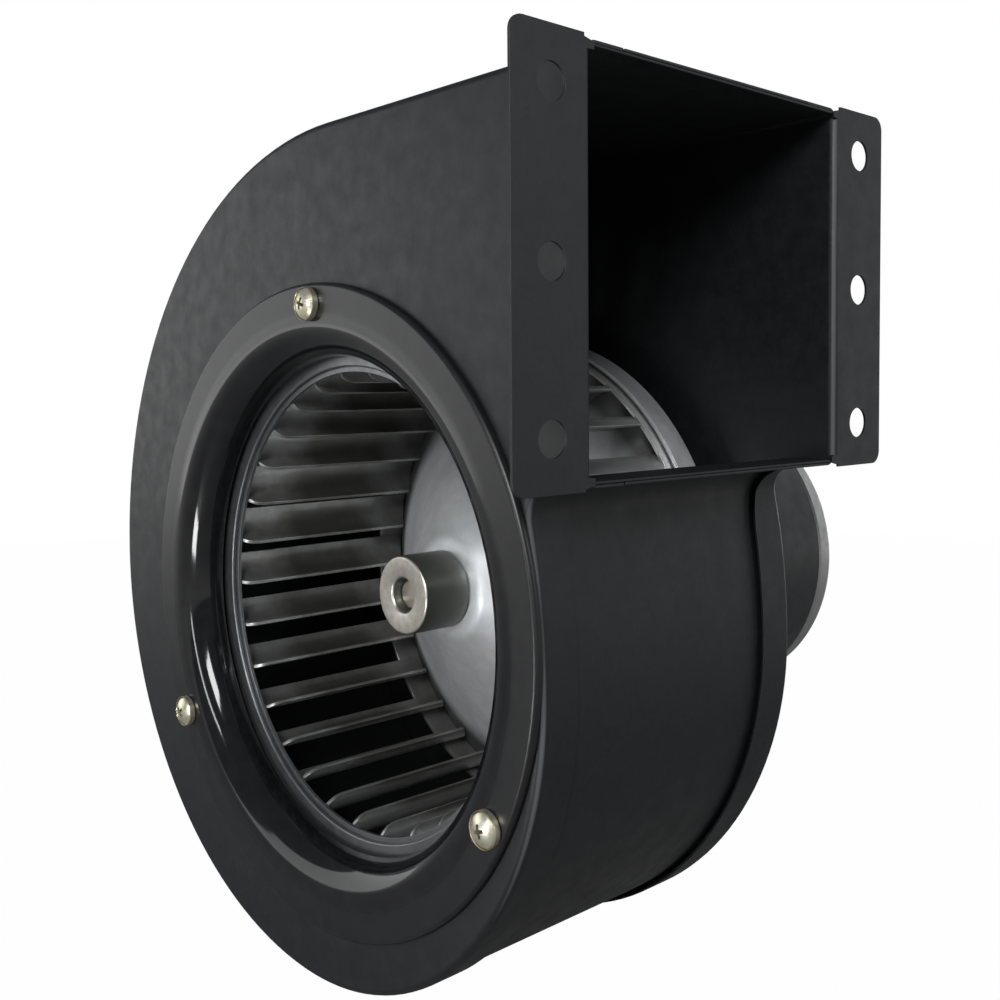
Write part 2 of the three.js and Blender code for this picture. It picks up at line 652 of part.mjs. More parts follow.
function preloadWasher(material) {
  const y0 = REAR_BEARING_Y + BEARING_WIDTH + FIT;
  const washer = tube(BEARING_OUTER_RADIUS - 2, BEARING_OUTER_RADIUS - FIT, y0, y0 + 0.6, MEDIUM);
  return meshOf("bearing_preload_washer", washer, material);
}

// ---------------------------------------------------------------- stator

// A slot, or the coil side in it, as a bar along the shaft drawn at angle 0.
function slotBar(inner, outer, width, y0, y1) {
  return box(inner, outer, y0, y1, -width / 2, width / 2);
}

function statorCore(material) {
  const bore = ROTOR_RADIUS + AIR_GAP;
  const y0 = STACK_FRONT_Y - 1;
  const y1 = STACK_REAR_Y + 1;
  const outside = MOTOR_RADIUS - CAN_SHEET - GAP;
  let core = tube(bore, outside, STACK_FRONT_Y, STACK_REAR_Y, MOTOR);
  const slot = join(
    slotBar(SLOT_INNER_RADIUS, SLOT_OUTER_RADIUS, SLOT_WIDTH, y0, y1),
    slotBar(bore - 1, SLOT_INNER_RADIUS + 1, SLOT_MOUTH, y0, y1),
  );
  for (let k = 0; k < SLOT_COUNT; k++) core = cut(core, slot.rotate([0, (360 * k) / SLOT_COUNT, 0]));
  for (let k = 0; k < MOTOR_SCREW_COUNT; k++) {
    const hole = rod(M4_CLEARANCE_RADIUS, y0, y1, 12);
    core = cut(core, onCircle(hole, TIE_BOLT_CIRCLE, placeAngle(k, MOTOR_SCREW_COUNT, Math.PI / 4)));
  }
  return meshOf("stator_core", core, material);
}

// The winding's two bundles of end turns and the coil sides that join them through the slots.
function statorWinding(material) {
  const inner = SLOT_INNER_RADIUS + GAP;
  const outer = SLOT_OUTER_RADIUS - GAP;
  const endTurns = (y0, y1) => turned([
    [inner, y0],
    [outer, y0],
    [outer + 0.8, (y0 + y1) / 2],
    [outer, y1],
    [inner, y1],
    [inner - 0.8, (y0 + y1) / 2],
  ], MEDIUM);
  const front = endTurns(STACK_FRONT_Y - GAP - END_TURN_LENGTH, STACK_FRONT_Y - GAP);
  const rear = endTurns(STACK_REAR_Y + GAP, STACK_REAR_Y + GAP + END_TURN_LENGTH);
  let winding = join(front, rear);
  const side = slotBar(inner + 0.5, outer - 0.5, SLOT_WIDTH - 2 * GAP, STACK_FRONT_Y - 1, STACK_REAR_Y + 1);
  for (let k = 0; k < SLOT_COUNT; k++) winding = join(winding, side.rotate([0, (360 * k) / SLOT_COUNT, 0]));
  return meshOf("stator_winding", winding, material);
}

// ---------------------------------------------------------------- motor casing

const SEAT_RADIUS = BEARING_OUTER_RADIUS + FIT;
const CAN_INNER = MOTOR_RADIUS - CAN_SHEET;
const SPIGOT_OUTER = CAN_INNER - GAP;

function motorFrontBracket(material) {
  const faceY = HOUSING_WIDTH + GAP;
  const webY = faceY + BRACKET_WEB;
  const padY = webY + 3.8;
  const shoulder = FRONT_BEARING_Y - FIT;
  let bracket = turned([
    [SHAFT_RADIUS + 2, BOSS_FRONT_Y],
    [BOSS_RADIUS, BOSS_FRONT_Y],
    [BOSS_RADIUS, faceY],
    [MOTOR_RADIUS, faceY],
    [MOTOR_RADIUS, CAN_FRONT_Y - GAP],
    [SPIGOT_OUTER, CAN_FRONT_Y - GAP],
    [SPIGOT_OUTER, padY],
    [TIE_BOLT_CIRCLE - 4.5, padY],
    [TIE_BOLT_CIRCLE - 5.5, webY],
    [SEAT_RADIUS, webY],
    [SEAT_RADIUS, shoulder],
    [SHAFT_RADIUS + 2, shoulder],
  ], MOTOR);
  for (let k = 0; k < MOTOR_SCREW_COUNT; k++) {
    const angle = placeAngle(k, MOTOR_SCREW_COUNT, Math.PI / 4);
    bracket = cut(
      bracket,
      onCircle(rod(M4_RADIUS + FIT, faceY - 1, webY + 1, SMALL), MOUNT_SCREW_CIRCLE, angle),
      onCircle(rod(M4_RADIUS + FIT, webY - 1, padY + 1, SMALL), TIE_BOLT_CIRCLE, angle),
    );
  }
  return meshOf("motor_front_bracket", bracket, material);
}

function motorCan(material) {
  const can = tube(CAN_INNER, MOTOR_RADIUS, CAN_FRONT_Y, CAN_REAR_Y, MOTOR);
  const hole = rod(4.4, 0, MOTOR_RADIUS + 2, SMALL).rotate([0, 0, 90]).translate([0, CABLE_Y, 0]);
  return meshOf("motor_can", cut(can, hole), material);
}

const BOLT_SEAT_Y = COVER_REAR_Y - 2.6;

function motorRearCover(material) {
  const rimY = CAN_REAR_Y + GAP;
  const faceY = COVER_REAR_Y - 1.0;
  const innerY = faceY - 3.2;
  const corner = 2.4;
  const seatEnd = REAR_BEARING_Y + BEARING_WIDTH + 1.0;
  let cover = turned([
    [0, COVER_REAR_Y],
    [BEARING_OUTER_RADIUS + 2, COVER_REAR_Y],
    [BEARING_OUTER_RADIUS + 3.5, faceY],
    [TIE_BOLT_CIRCLE - 5.5, faceY],
    [TIE_BOLT_CIRCLE - 4.5, COVER_REAR_Y],
    ...arcPoints(MOTOR_RADIUS - corner, COVER_REAR_Y - corner, corner, 90, 0, 2),
    [MOTOR_RADIUS, rimY],
    [SPIGOT_OUTER, rimY],
    [SPIGOT_OUTER, innerY],
    [SEAT_RADIUS + 2.6, innerY],
    [SEAT_RADIUS + 2.6, REAR_BEARING_Y - 0.5],
    [SEAT_RADIUS, REAR_BEARING_Y - 0.5],
    [SEAT_RADIUS, seatEnd],
    [SEAT_RADIUS - 2.6, seatEnd],
    [SEAT_RADIUS - 2.6, seatEnd + 2],
    [0, seatEnd + 2],
  ], MOTOR);
  for (let k = 0; k < MOTOR_SCREW_COUNT; k++) {
    const angle = placeAngle(k, MOTOR_SCREW_COUNT, Math.PI / 4);
    cover = cut(
      cover,
      onCircle(rod(M4_CLEARANCE_RADIUS, rimY - 4, COVER_REAR_Y + 1, SMALL), TIE_BOLT_CIRCLE, angle),
      onCircle(rod(PAN_HEAD_RADIUS + GAP, BOLT_SEAT_Y, COVER_REAR_Y + 1, SMALL), TIE_BOLT_CIRCLE, angle),
    );
  }
  return meshOf("motor_rear_cover", cover, material);
}

// Screws from inside the scroll that hold the motor's front bracket on the back shell.
function motorMountScrews(material) {
  const seat = HOUSING_WIDTH - SHELL - FIT;
  const length = HOUSING_WIDTH + GAP + BRACKET_WEB - seat;
  const screws = [];
  for (let k = 0; k < MOTOR_SCREW_COUNT; k++) {
    const screw = panHeadScrew(length).translate([0, seat - PAN_HEAD_HEIGHT, 0]);
    const angle = placeAngle(k, MOTOR_SCREW_COUNT, Math.PI / 4);
    screws.push(meshOf(`motor_mount_screw_${k + 1}`, onCircle(screw, MOUNT_SCREW_CIRCLE, angle), material));
  }
  return screws;
}

// Long bolts from the rear cover through the stator into the front bracket, hexagon heads out.
function motorTieBolts(material) {
  const seat = BOLT_SEAT_Y + FIT;
  const tip = HOUSING_WIDTH + GAP + BRACKET_WEB + GAP;
  const bolts = [];
  for (let k = 0; k < MOTOR_SCREW_COUNT; k++) {
    const bolt = join(
      rod(M4_RADIUS, tip, seat + 1, 12),
      rod(PAN_HEAD_RADIUS - GAP, seat, seat + PAN_HEAD_HEIGHT, 6),
    );
    const angle = placeAngle(k, MOTOR_SCREW_COUNT, Math.PI / 4);
    bolts.push(meshOf(`motor_tie_bolt_${k + 1}`, onCircle(bolt, TIE_BOLT_CIRCLE, angle), material));
  }
  return bolts;
}

// ---------------------------------------------------------------- cable

// Rubber grommet in the can's -X side, turned about Y and then laid along -X.
function cableGrommet(material) {
  const bore = CABLE_RADIUS + 0.15;
  const grommet = turned([
    [bore, CAN_INNER - 2.2],
    [5.2, CAN_INNER - 2.2],
    [5.2, CAN_INNER - 2 * GAP],
    [4.2, CAN_INNER - 2 * GAP],
    [4.2, MOTOR_RADIUS + GAP],
    [6.6, MOTOR_RADIUS + GAP],
    [6.0, MOTOR_RADIUS + 2.2],
    [bore + 0.8, MOTOR_RADIUS + 4.0],
    [bore, MOTOR_RADIUS + 4.0],
  ], SMALL);
  return meshOf("cable_grommet", grommet.rotate([0, 0, 90]).translate([0, CABLE_Y, 0]), material);
}

// A round cord along a path.
function cord(path, radius, steps, sides) {
  const section = new THREE.Shape();
  section.absarc(0, 0, radius, 0, 2 * Math.PI, false);
  const options = { steps, extrudePath: path, curveSegments: sides / 2, bevelEnabled: false };
  return solid(new THREE.ExtrudeGeometry(section, options));
}

const CABLE_BEND_X = -62;

function motorCable(material) {
  const at = (x, z) => new THREE.Vector3(x, CABLE_Y, z);
  const bendStart = at(-MOTOR_RADIUS - 5, 0);
  const path = new THREE.CurvePath();
  path.add(new THREE.LineCurve3(at(-CAN_INNER + 3.5, 0), bendStart));
  path.add(new THREE.CubicBezierCurve3(
    bendStart,
    at(CABLE_BEND_X, 0),
    at(CABLE_BEND_X, -CABLE_DROP / 4),
    at(CABLE_BEND_X, -CABLE_DROP),
  ));
  return meshOf("motor_cable", cord(path, CABLE_RADIUS, 12, 10), material);
}

// Insulated cores that fan out below the jacket.
function cableCore(name, material, spreadX, spreadY) {
  const top = new THREE.Vector3(CABLE_BEND_X + spreadX, CABLE_Y + spreadY, -CABLE_DROP - GAP);
  const middle = top.clone().add(new THREE.Vector3(spreadX, spreadY, -CORE_LENGTH / 2));
  const end = top.clone().add(new THREE.Vector3(2 * spreadX, 2 * spreadY, -CORE_LENGTH));
  return meshOf(name, cord(new THREE.QuadraticBezierCurve3(top, middle, end), CORE_RADIUS, 3, 8), material);
}

// ---------------------------------------------------------------- assembly

function finish(color, roughness, metalness) {
  return new THREE.MeshStandardMaterial({ color, roughness, metalness });
}

const paint = finish(0x1b1c1d, 0.55, 0.1);
const glossPaint = finish(0x0a0a0b, 0.15, 0.1);
const zincYellow = finish(0xc9bf95, 0.3, 0.9);
const galvanised = finish(0x8d8f8b, 0.4, 0.9);
const discSteel = finish(0xa0a29e, 0.35, 0.9);
const hubSteel = finish(0x9a968c, 0.4, 0.9);
const darkSteel = finish(0x4a4b4d, 0.4, 0.9);
const brightSteel = finish(0xb4b6b8, 0.25, 1.0);
const lamination = finish(0x6b6d70, 0.5, 0.8);
const castAluminium = finish(0xb6b8ba, 0.45, 0.9);
const copper = finish(0xa8562c, 0.35, 0.9);
const brass = finish(0xb3924c, 0.35, 0.9);
const blackPlastic = finish(0x101010, 0.6, 0.0);
const brownPlastic = finish(0x5b3219, 0.5, 0.0);
const bluePlastic = finish(0x1f4f9e, 0.5, 0.0);
const greenPlastic = finish(0x3d8a34, 0.5, 0.0);

function housing() {
  const group = new THREE.Group();
  group.add(frontShell(paint), scrollWrap(paint), backShell(paint));
  group.add(inletRing(glossPaint), ...inletRingScrews(zincYellow));
  return group;
}

function impeller() {
  const group = new THREE.Group();
  group.add(impellerFrontRing(galvanised), bladeCage(galvanised), impellerBackDisc(discSteel));
  group.add(impellerHub(hubSteel), hubSetScrew(darkSteel));
  return group;
}

function motor() {
  const group = new THREE.Group();
  group.add(motorShaft(brightSteel), rotorCore(lamination), rotorCage(castAluminium));
  group.add(...ballBearing("front_bearing", FRONT_BEARING_Y, brightSteel, brass));
  group.add(...ballBearing("rear_bearing", REAR_BEARING_Y, brightSteel, brass));
  group.add(preloadWasher(darkSteel), statorCore(lamination), statorWinding(copper));
  group.add(motorFrontBracket(paint), motorCan(paint), motorRearCover(castAluminium));
  group.add(...motorMountScrews(zincYellow), ...motorTieBolts(darkSteel));
  return group;
}

function cable() {
  const group = new THREE.Group();
  const spread = 1.2;
  group.add(cableGrommet(blackPlastic), motorCable(blackPlastic));
  group.add(cableCore("cable_core_live", brownPlastic, -spread, -0.7));
  group.add(cableCore("cable_core_neutral", bluePlastic, spread, -0.7));
  group.add(cableCore("cable_core_earth", greenPlastic, 0, spread + 0.2));
  return group;
}

// The origin of the finished part: the flange's face, midway between its two lower holes.
const ORIGIN = new THREE.Vector3(OUTLET_X, -FLANGE_WIDTH / 2, FLANGE_CENTRE_Z - FLANGE_HOLE_PITCH / 2);

const blower = new THREE.Group();
blower.add(housing(), impeller(), motor(), cable());
blower.position.copy(ORIGIN).negate();

export default blower;
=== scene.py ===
import json
import math

import bmesh
import bpy
from mathutils import Matrix, Vector

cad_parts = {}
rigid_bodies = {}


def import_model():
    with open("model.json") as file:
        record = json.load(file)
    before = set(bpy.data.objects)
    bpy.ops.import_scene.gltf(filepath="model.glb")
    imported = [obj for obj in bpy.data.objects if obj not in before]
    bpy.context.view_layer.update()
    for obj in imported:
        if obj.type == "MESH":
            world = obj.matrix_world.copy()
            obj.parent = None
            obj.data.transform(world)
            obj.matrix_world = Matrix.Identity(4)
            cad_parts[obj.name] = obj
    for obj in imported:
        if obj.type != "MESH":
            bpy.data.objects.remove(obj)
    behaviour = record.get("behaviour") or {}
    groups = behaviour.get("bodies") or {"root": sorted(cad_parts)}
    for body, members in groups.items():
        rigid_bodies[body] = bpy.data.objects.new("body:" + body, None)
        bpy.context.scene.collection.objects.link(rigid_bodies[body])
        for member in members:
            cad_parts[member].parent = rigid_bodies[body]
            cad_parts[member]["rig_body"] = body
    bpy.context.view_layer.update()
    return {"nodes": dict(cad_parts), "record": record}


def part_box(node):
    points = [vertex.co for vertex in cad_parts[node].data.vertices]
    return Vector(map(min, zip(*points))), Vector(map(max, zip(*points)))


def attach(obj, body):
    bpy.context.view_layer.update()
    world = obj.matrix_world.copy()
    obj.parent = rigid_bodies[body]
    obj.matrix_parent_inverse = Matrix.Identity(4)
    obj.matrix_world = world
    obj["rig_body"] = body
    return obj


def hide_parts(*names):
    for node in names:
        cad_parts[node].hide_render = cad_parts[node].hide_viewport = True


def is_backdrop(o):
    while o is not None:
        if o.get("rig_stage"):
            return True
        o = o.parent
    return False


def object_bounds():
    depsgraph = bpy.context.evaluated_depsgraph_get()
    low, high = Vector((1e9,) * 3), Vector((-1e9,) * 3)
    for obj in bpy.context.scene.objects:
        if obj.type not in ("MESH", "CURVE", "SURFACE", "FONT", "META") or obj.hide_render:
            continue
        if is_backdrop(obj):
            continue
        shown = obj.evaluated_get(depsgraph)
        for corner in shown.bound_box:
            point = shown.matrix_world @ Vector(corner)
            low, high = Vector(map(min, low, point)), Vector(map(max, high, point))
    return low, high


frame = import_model()

# -- place and scale
# Pieces are drawn in millimetres round the shaft: x is the discharge direction, y runs from the
# housing's front face to the motor, z is up. local_box() gives a CAD node's corners in those terms,
# and centre() its middle.

MM = 0.001
THROAT_END_Y = 8.0
wheel_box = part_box("impeller_front_ring")
ring_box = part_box("inlet_ring")
SHAFT_X = (wheel_box[0].x + wheel_box[1].x) / 2
SHAFT_Z = (wheel_box[0].z + wheel_box[1].z) / 2
FACE_Y = ring_box[1].y - THROAT_END_Y * MM
ORIGIN = Vector((SHAFT_X, FACE_Y, SHAFT_Z))


def at(x, y, z):
    return ORIGIN + Vector((x, y, z)) * MM


def local_box(node):
    return [(corner - ORIGIN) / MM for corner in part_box(node)]


def centre(node):
    low, high = local_box(node)
    return [(a + b) / 2 for a, b in zip(low, high)]


# -- dimensions, millimetres

SHEET = 0.6
WRAP_INSET = 0.7
HEM_WIDTH = 5.0
HEM_SHEET = WRAP_INSET - 0.05
EDGE_ROUND = 2.0
FOLD_RADIUS = 1.4
SCROLL_TOP = 114.0
SCROLL_RIGHT = 76.9
TOP_RISE = 1.5  # degrees that the straight top climbs towards the outlet
CUTOFF_RADIUS = 165.0
NECK_RADIUS = 6.5
NECK_TOP = 34.2
RIM_RELIEF = 16.0
FLANGE_CORNER = 3.0
FLANGE_CENTRE_Z = 75.25
HOLE_RADIUS = 3.5
HOLE_PITCH = 31.45
THROAT_RADIUS = 60.0
BELL_RADIUS = 8.0
RING_SHEET = 1.5
BLADE_COUNT = 30
BLADE_INNER = 54.0
BLADE_LEAD = math.radians(7.5)
BLADE_PHASE = math.radians(182.5)
BLADE_SHEET = 0.9
BLADE_CORNER = 4.5
BAND_SHEET = 0.9
REAR_BAND_Y = 62.6
DISC_FLAT_RADIUS = 13.0
DISC_BEAD_WIDTH = 3.6
DISC_SKIRT_Y = 65.0
DISC_SHEET = 1.2
BOSS_HOLE_RADIUS = 17.0
FRONT_HOLE_RADIUS = 67.3
BEARING_SEAT_RADIUS = 11.1
SIDE_CUT_END = 12.0  # just outside the hub, where cuts for the set screw end
CABLE_BEND_X = -62.0
FLOOR_GAP = 0.5
WELD = 0.004  # points closer than this become one after a cut
ROUND_STEPS = 6  # faces across a rounding or fold of the sheet

# The rest follows from the CAD nodes' boxes.
WRAP_LOW, WRAP_HIGH = local_box("scroll_wrap")
FRONT_LOW, FRONT_HIGH = local_box("front_shell")
BACK_LOW, BACK_HIGH = local_box("back_shell")
RING_LOW, RING_HIGH = local_box("inlet_ring")
WHEEL_LOW, WHEEL_HIGH = local_box("impeller_front_ring")
CAGE_LOW, CAGE_HIGH = local_box("impeller_blade_cage")
DISC_LOW, DISC_HIGH = local_box("impeller_back_disc")
HUB_LOW, HUB_HIGH = local_box("impeller_hub")
SHAFT_LOW, SHAFT_HIGH = local_box("motor_shaft")
BRACKET_LOW, BRACKET_HIGH = local_box("motor_front_bracket")
CAN_LOW, CAN_HIGH = local_box("motor_can")
COVER_HIGH = local_box("motor_rear_cover")[1]

SCROLL_LEFT = -WRAP_LOW.x + WRAP_INSET
SCROLL_BOTTOM = -WRAP_LOW.z + WRAP_INSET
OUTLET_X = FRONT_HIGH.x
FLANGE_WIDTH = -FRONT_LOW.y
FLANGE_TOP = FRONT_HIGH.z
HOUSING_WIDTH = BACK_HIGH.y - FLANGE_WIDTH
FRONT_RIM = FRONT_HIGH.y
BACK_RIM = HOUSING_WIDTH - BACK_LOW.y
BACK_OUTSET = -BACK_LOW.x - SCROLL_LEFT
FLANGE_BOTTOM = 2 * FLANGE_CENTRE_Z - FLANGE_TOP
SHELL_FOLD_X = OUTLET_X - SHEET - FOLD_RADIUS
SHELL_FLANGE_X = OUTLET_X - SHEET
RING_RADIUS = RING_HIGH.z
WHEEL_RADIUS = WHEEL_HIGH.z
BLADE_OUTER = CAGE_HIGH.z
MOTOR_RADIUS = CAN_HIGH.z

# -- mesh helpers


def arc(cx, cy, radius, start, end, steps):
    """Points on an arc in degrees, both ends included."""
    points = []
    for i in range(steps + 1):
        angle = math.radians(start + (end - start) * i / steps)
        points.append((cx + radius * math.cos(angle), cy + radius * math.sin(angle)))
    return points


def add_lathe(bm, profile, segments):
    """Revolves (radius, y) points round the shaft line and closes the loop between its ends."""
    rings = []
    for radius, y in profile:
        if radius < 1e-6:
            rings.append([bm.verts.new((0, y, 0))])
            continue
        ring = []
        for k in range(segments):
            angle = 2 * math.pi * k / segments
            ring.append(bm.verts.new((radius * math.cos(angle), y, radius * math.sin(angle))))
        rings.append(ring)
    pairs = list(zip(rings, rings[1:]))
    if len(rings[0]) > 1 and len(rings[-1]) > 1:
        pairs.append((rings[-1], rings[0]))
    for a, b in pairs:
        for k in range(segments):
            n = (k + 1) % segments
            corners = [a[k % len(a)], a[n % len(a)], b[n % len(b)], b[k % len(b)]]
            unique = list(dict.fromkeys(corners))
            if len(unique) > 2:
                bm.faces.new(unique)


def finish_mesh(bm, name, turn_outward=True):
    """Makes an object in the frame from a mesh in millimetres round the shaft."""
    if turn_outward:
        bmesh.ops.recalc_face_normals(bm, faces=bm.faces)
    for vertex in bm.verts:
        vertex.co = at(*vertex.co)
    mesh = bpy.data.meshes.new(name)
    bm.to_mesh(mesh)
    bm.free()
    piece = bpy.data.objects.new(name, mesh)
    bpy.context.scene.collection.objects.link(piece)
    return piece


def soften(piece, bevel=0.2, segments=2, angle=40):
    """Smooth shading that keeps hard edges, with a small rounding along them."""
    mesh = piece.data
    mesh.polygons.foreach_set("use_smooth", [True] * len(mesh.polygons))
    if bevel:
        rounding = piece.modifiers.new("rounding", "BEVEL")
        rounding.width = bevel * MM
        rounding.segments = segments
        rounding.limit_method = "ANGLE"
        rounding.angle_limit = math.radians(angle)
    else:
        mesh.set_sharp_from_angle(angle=math.radians(angle))
    weight = piece.modifiers.new("normals", "WEIGHTED_NORMAL")
    weight.keep_sharp = True
    weight.weight = 80


def cut_with(piece, cutters):
    """Cuts solids out of a piece, applies all its modifiers and welds what comes out."""
    for cutter in cutters:
        modifier = piece.modifiers.new("cut", "BOOLEAN")
        modifier.operation = "DIFFERENCE"
        modifier.solver = "EXACT"
        modifier.object = cutter
    bpy.context.view_layer.update()
    graph = bpy.context.evaluated_depsgraph_get()
    cut = bpy.data.meshes.new_from_object(piece.evaluated_get(graph))
    bm = bmesh.new()
    bm.from_mesh(cut)
    bmesh.ops.remove_doubles(bm, verts=bm.verts, dist=WELD * MM)
    bmesh.ops.dissolve_degenerate(bm, edges=bm.edges, dist=WELD * MM)
    bm.to_mesh(cut)
    bm.free()
    piece.modifiers.clear()
    piece.data = cut
    for cutter in cutters:
        bpy.data.objects.remove(cutter)


def lathe_piece(name, profile, segments=160):
    bm = bmesh.new()
    add_lathe(bm, profile, segments)
    return finish_mesh(bm, name)


def rod_profile(radius, y0, y1):
    return [(0, y0), (radius, y0), (radius, y1), (0, y1)]


def rod_cutter(radius, y0, y1, x, z, segments=32):
    bm = bmesh.new()
    add_lathe(bm, rod_profile(radius, y0, y1), segments)
    bmesh.ops.translate(bm, verts=bm.verts, vec=(x, 0, z))
    return finish_mesh(bm, "cutter")


def sideways_lathe(name, profile, y, segments):
    """A lathe turned so that its profile's y points to -X from the shaft, at the given y."""
    bm = bmesh.new()
    add_lathe(bm, profile, segments)
    bmesh.ops.rotate(bm, verts=bm.verts, matrix=Matrix.Rotation(math.radians(90), 3, "Z"))
    bmesh.ops.translate(bm, verts=bm.verts, vec=(0, y, 0))
    return finish_mesh(bm, name)


# -- scroll outline


def scroll_outline(inset, end_x, end_inset=None):
    """The scroll from the outlet's top round to the underside of the outlet, as (x, z) points.

    The straight runs may close in on the wrap towards the outlet, where their inset is end_inset.
    """
    end_inset = inset if end_inset is None else end_inset
    quarter, right_steps, neck_steps = 36, 14, 12
    step = (SCROLL_TOP + SCROLL_BOTTOM - SCROLL_LEFT - SCROLL_RIGHT) / 2
    radius = (SCROLL_TOP + SCROLL_BOTTOM + step) / 2
    x = radius - SCROLL_LEFT
    z = SCROLL_TOP - radius
    low_x, low_z, low_radius = x - step, z - step, radius - 2 * step
    right_x = low_x + low_radius - CUTOFF_RADIUS
    neck_z = NECK_TOP - NECK_RADIUS
    neck_x = right_x + math.sqrt((CUTOFF_RADIUS + NECK_RADIUS) ** 2 - (neck_z - low_z) ** 2)
    neck_angle = math.degrees(math.atan2(neck_z - low_z, neck_x - right_x))
    rise = math.radians(TOP_RISE)
    tangent_x = x - (radius - end_inset) * math.sin(rise)
    tangent_z = z + (radius - end_inset) * math.cos(rise)
    points = [(end_x, tangent_z + (end_x - tangent_x) * math.tan(rise))]
    points += arc(x, z, radius - inset, 90 + TOP_RISE, 180, quarter)
    points += arc(low_x, z, radius - step - inset, 180, 270, quarter)[1:]
    points += arc(low_x, low_z, low_radius - inset, 270, 360, quarter)[1:]
    points += arc(right_x, low_z, CUTOFF_RADIUS - inset, 0, neck_angle, right_steps)[1:]
    points += arc(neck_x, neck_z, NECK_RADIUS + inset, neck_angle + 180, 90, neck_steps)[1:]
    points.append((end_x, NECK_TOP + end_inset))
    return points


def rim_depth(x, z, full):
    """How far the drawn rim reaches: it tapers away below the neck and comes back beyond it."""
    reach_left, reach_up = 20, 2
    if x < SCROLL_RIGHT - reach_left or z > NECK_TOP + reach_up or z < NECK_TOP - RIM_RELIEF:
        return full
    least = EDGE_ROUND + 0.4
    return_start, return_length, return_drop = 1, 3.0, 1.2
    if z >= NECK_TOP - return_drop and x > SCROLL_RIGHT + return_start:
        share = min(1.0, (x - SCROLL_RIGHT - return_start) / return_length)
        return least + (full - least) * share
    taper_end = 1.5
    share = min(1.0, max(0.0, (z - NECK_TOP + RIM_RELIEF) / (RIM_RELIEF - taper_end)))
    return least + (full - least) * math.sqrt(1 - share * share)


# -- housing meshes


def strip(bm, first, second):
    for i in range(len(first) - 1):
        bm.faces.new((first[i], first[i + 1], second[i + 1], second[i]))


def loop_edges(bm, loop):
    edges = []
    for i, vertex in enumerate(loop):
        pair = (vertex, loop[(i + 1) % len(loop)])
        edge = bm.edges.get(pair)
        edges.append(edge if edge else bm.edges.new(pair))
    return edges


def add_plate_and_rim(bm, outset, rim, hole_radius):
    """The flat side with its round hole, and the rim drawn over from it. Returns the rounding's rows."""
    rows = []
    for i in range(ROUND_STEPS + 1):
        t = math.pi / 2 * i / ROUND_STEPS
        inset = EDGE_ROUND * (1 - math.sin(t))
        y = EDGE_ROUND * (1 - math.cos(t))
        end_x = SHELL_FOLD_X if i == 0 else SHELL_FLANGE_X
        rows.append([bm.verts.new((x, y, z)) for x, z in scroll_outline(inset - outset, end_x, inset)])
    outline = scroll_outline(-outset, SHELL_FLANGE_X, 0)
    rows.append([bm.verts.new((x, rim_depth(x, z, rim), z)) for x, z in outline])
    for first, second in zip(rows, rows[1:]):
        strip(bm, first, second)
    hole = []
    for x, z in arc(0, 0, hole_radius, 0, 360, 120)[:-1]:
        hole.append(bm.verts.new((x, 0, z)))
    edges = loop_edges(bm, rows[0]) + loop_edges(bm, hole)
    bmesh.ops.triangle_fill(bm, edges=edges, use_beauty=True)
    return rows


def add_fold(bm, rows):
    """The bend from the plate into the flange. Returns its last two points, top and bottom."""
    last = [rows[0][0], rows[0][-1]]
    z_top, z_bottom = last[0].co.z, last[1].co.z
    for x, y in arc(SHELL_FOLD_X, -FOLD_RADIUS, FOLD_RADIUS, 90, 0, ROUND_STEPS)[1:]:
        row = [bm.verts.new((x, y, z_top)), bm.verts.new((x, y, z_bottom))]
        strip(bm, last, row)
        bm.faces.new((rows[1][0], last[0], row[0]))
        bm.faces.new((rows[1][-1], last[1], row[1]))
        last = row
    return last


def add_flange(bm, fold_end):
    """The outlet flange with three holes, and a small tab over each end of the fold."""
    z_top, z_bottom = fold_end[0].co.z, fold_end[1].co.z
    corner_y = -FLANGE_WIDTH + FLANGE_CORNER
    tab_y = EDGE_ROUND * 0.6
    tab_height = EDGE_ROUND - SHEET
    border = [(tab_y, z_bottom), (tab_y, z_bottom - tab_height), (-FOLD_RADIUS, NECK_TOP)]
    border.append((-FOLD_RADIUS, FLANGE_BOTTOM))
    border += arc(corner_y, FLANGE_BOTTOM + FLANGE_CORNER, FLANGE_CORNER, 270, 180, 8)
    border += arc(corner_y, FLANGE_TOP - FLANGE_CORNER, FLANGE_CORNER, 180, 90, 8)
    border += [(-FOLD_RADIUS, FLANGE_TOP), (-FOLD_RADIUS, z_top + EDGE_ROUND)]
    border += [(tab_y, z_top + tab_height), (tab_y, z_top)]
    loop = [fold_end[1]] + [bm.verts.new((SHELL_FLANGE_X, y, z)) for y, z in border] + [fold_end[0]]
    edges = loop_edges(bm, loop)
    for k in (-1, 0, 1):
        circle = arc(-FLANGE_WIDTH / 2, FLANGE_CENTRE_Z + k * HOLE_PITCH, HOLE_RADIUS, 0, 360, 32)
        edges += loop_edges(bm, [bm.verts.new((SHELL_FLANGE_X, y, z)) for y, z in circle[:-1]])
    bmesh.ops.triangle_fill(bm, edges=edges, use_beauty=True)


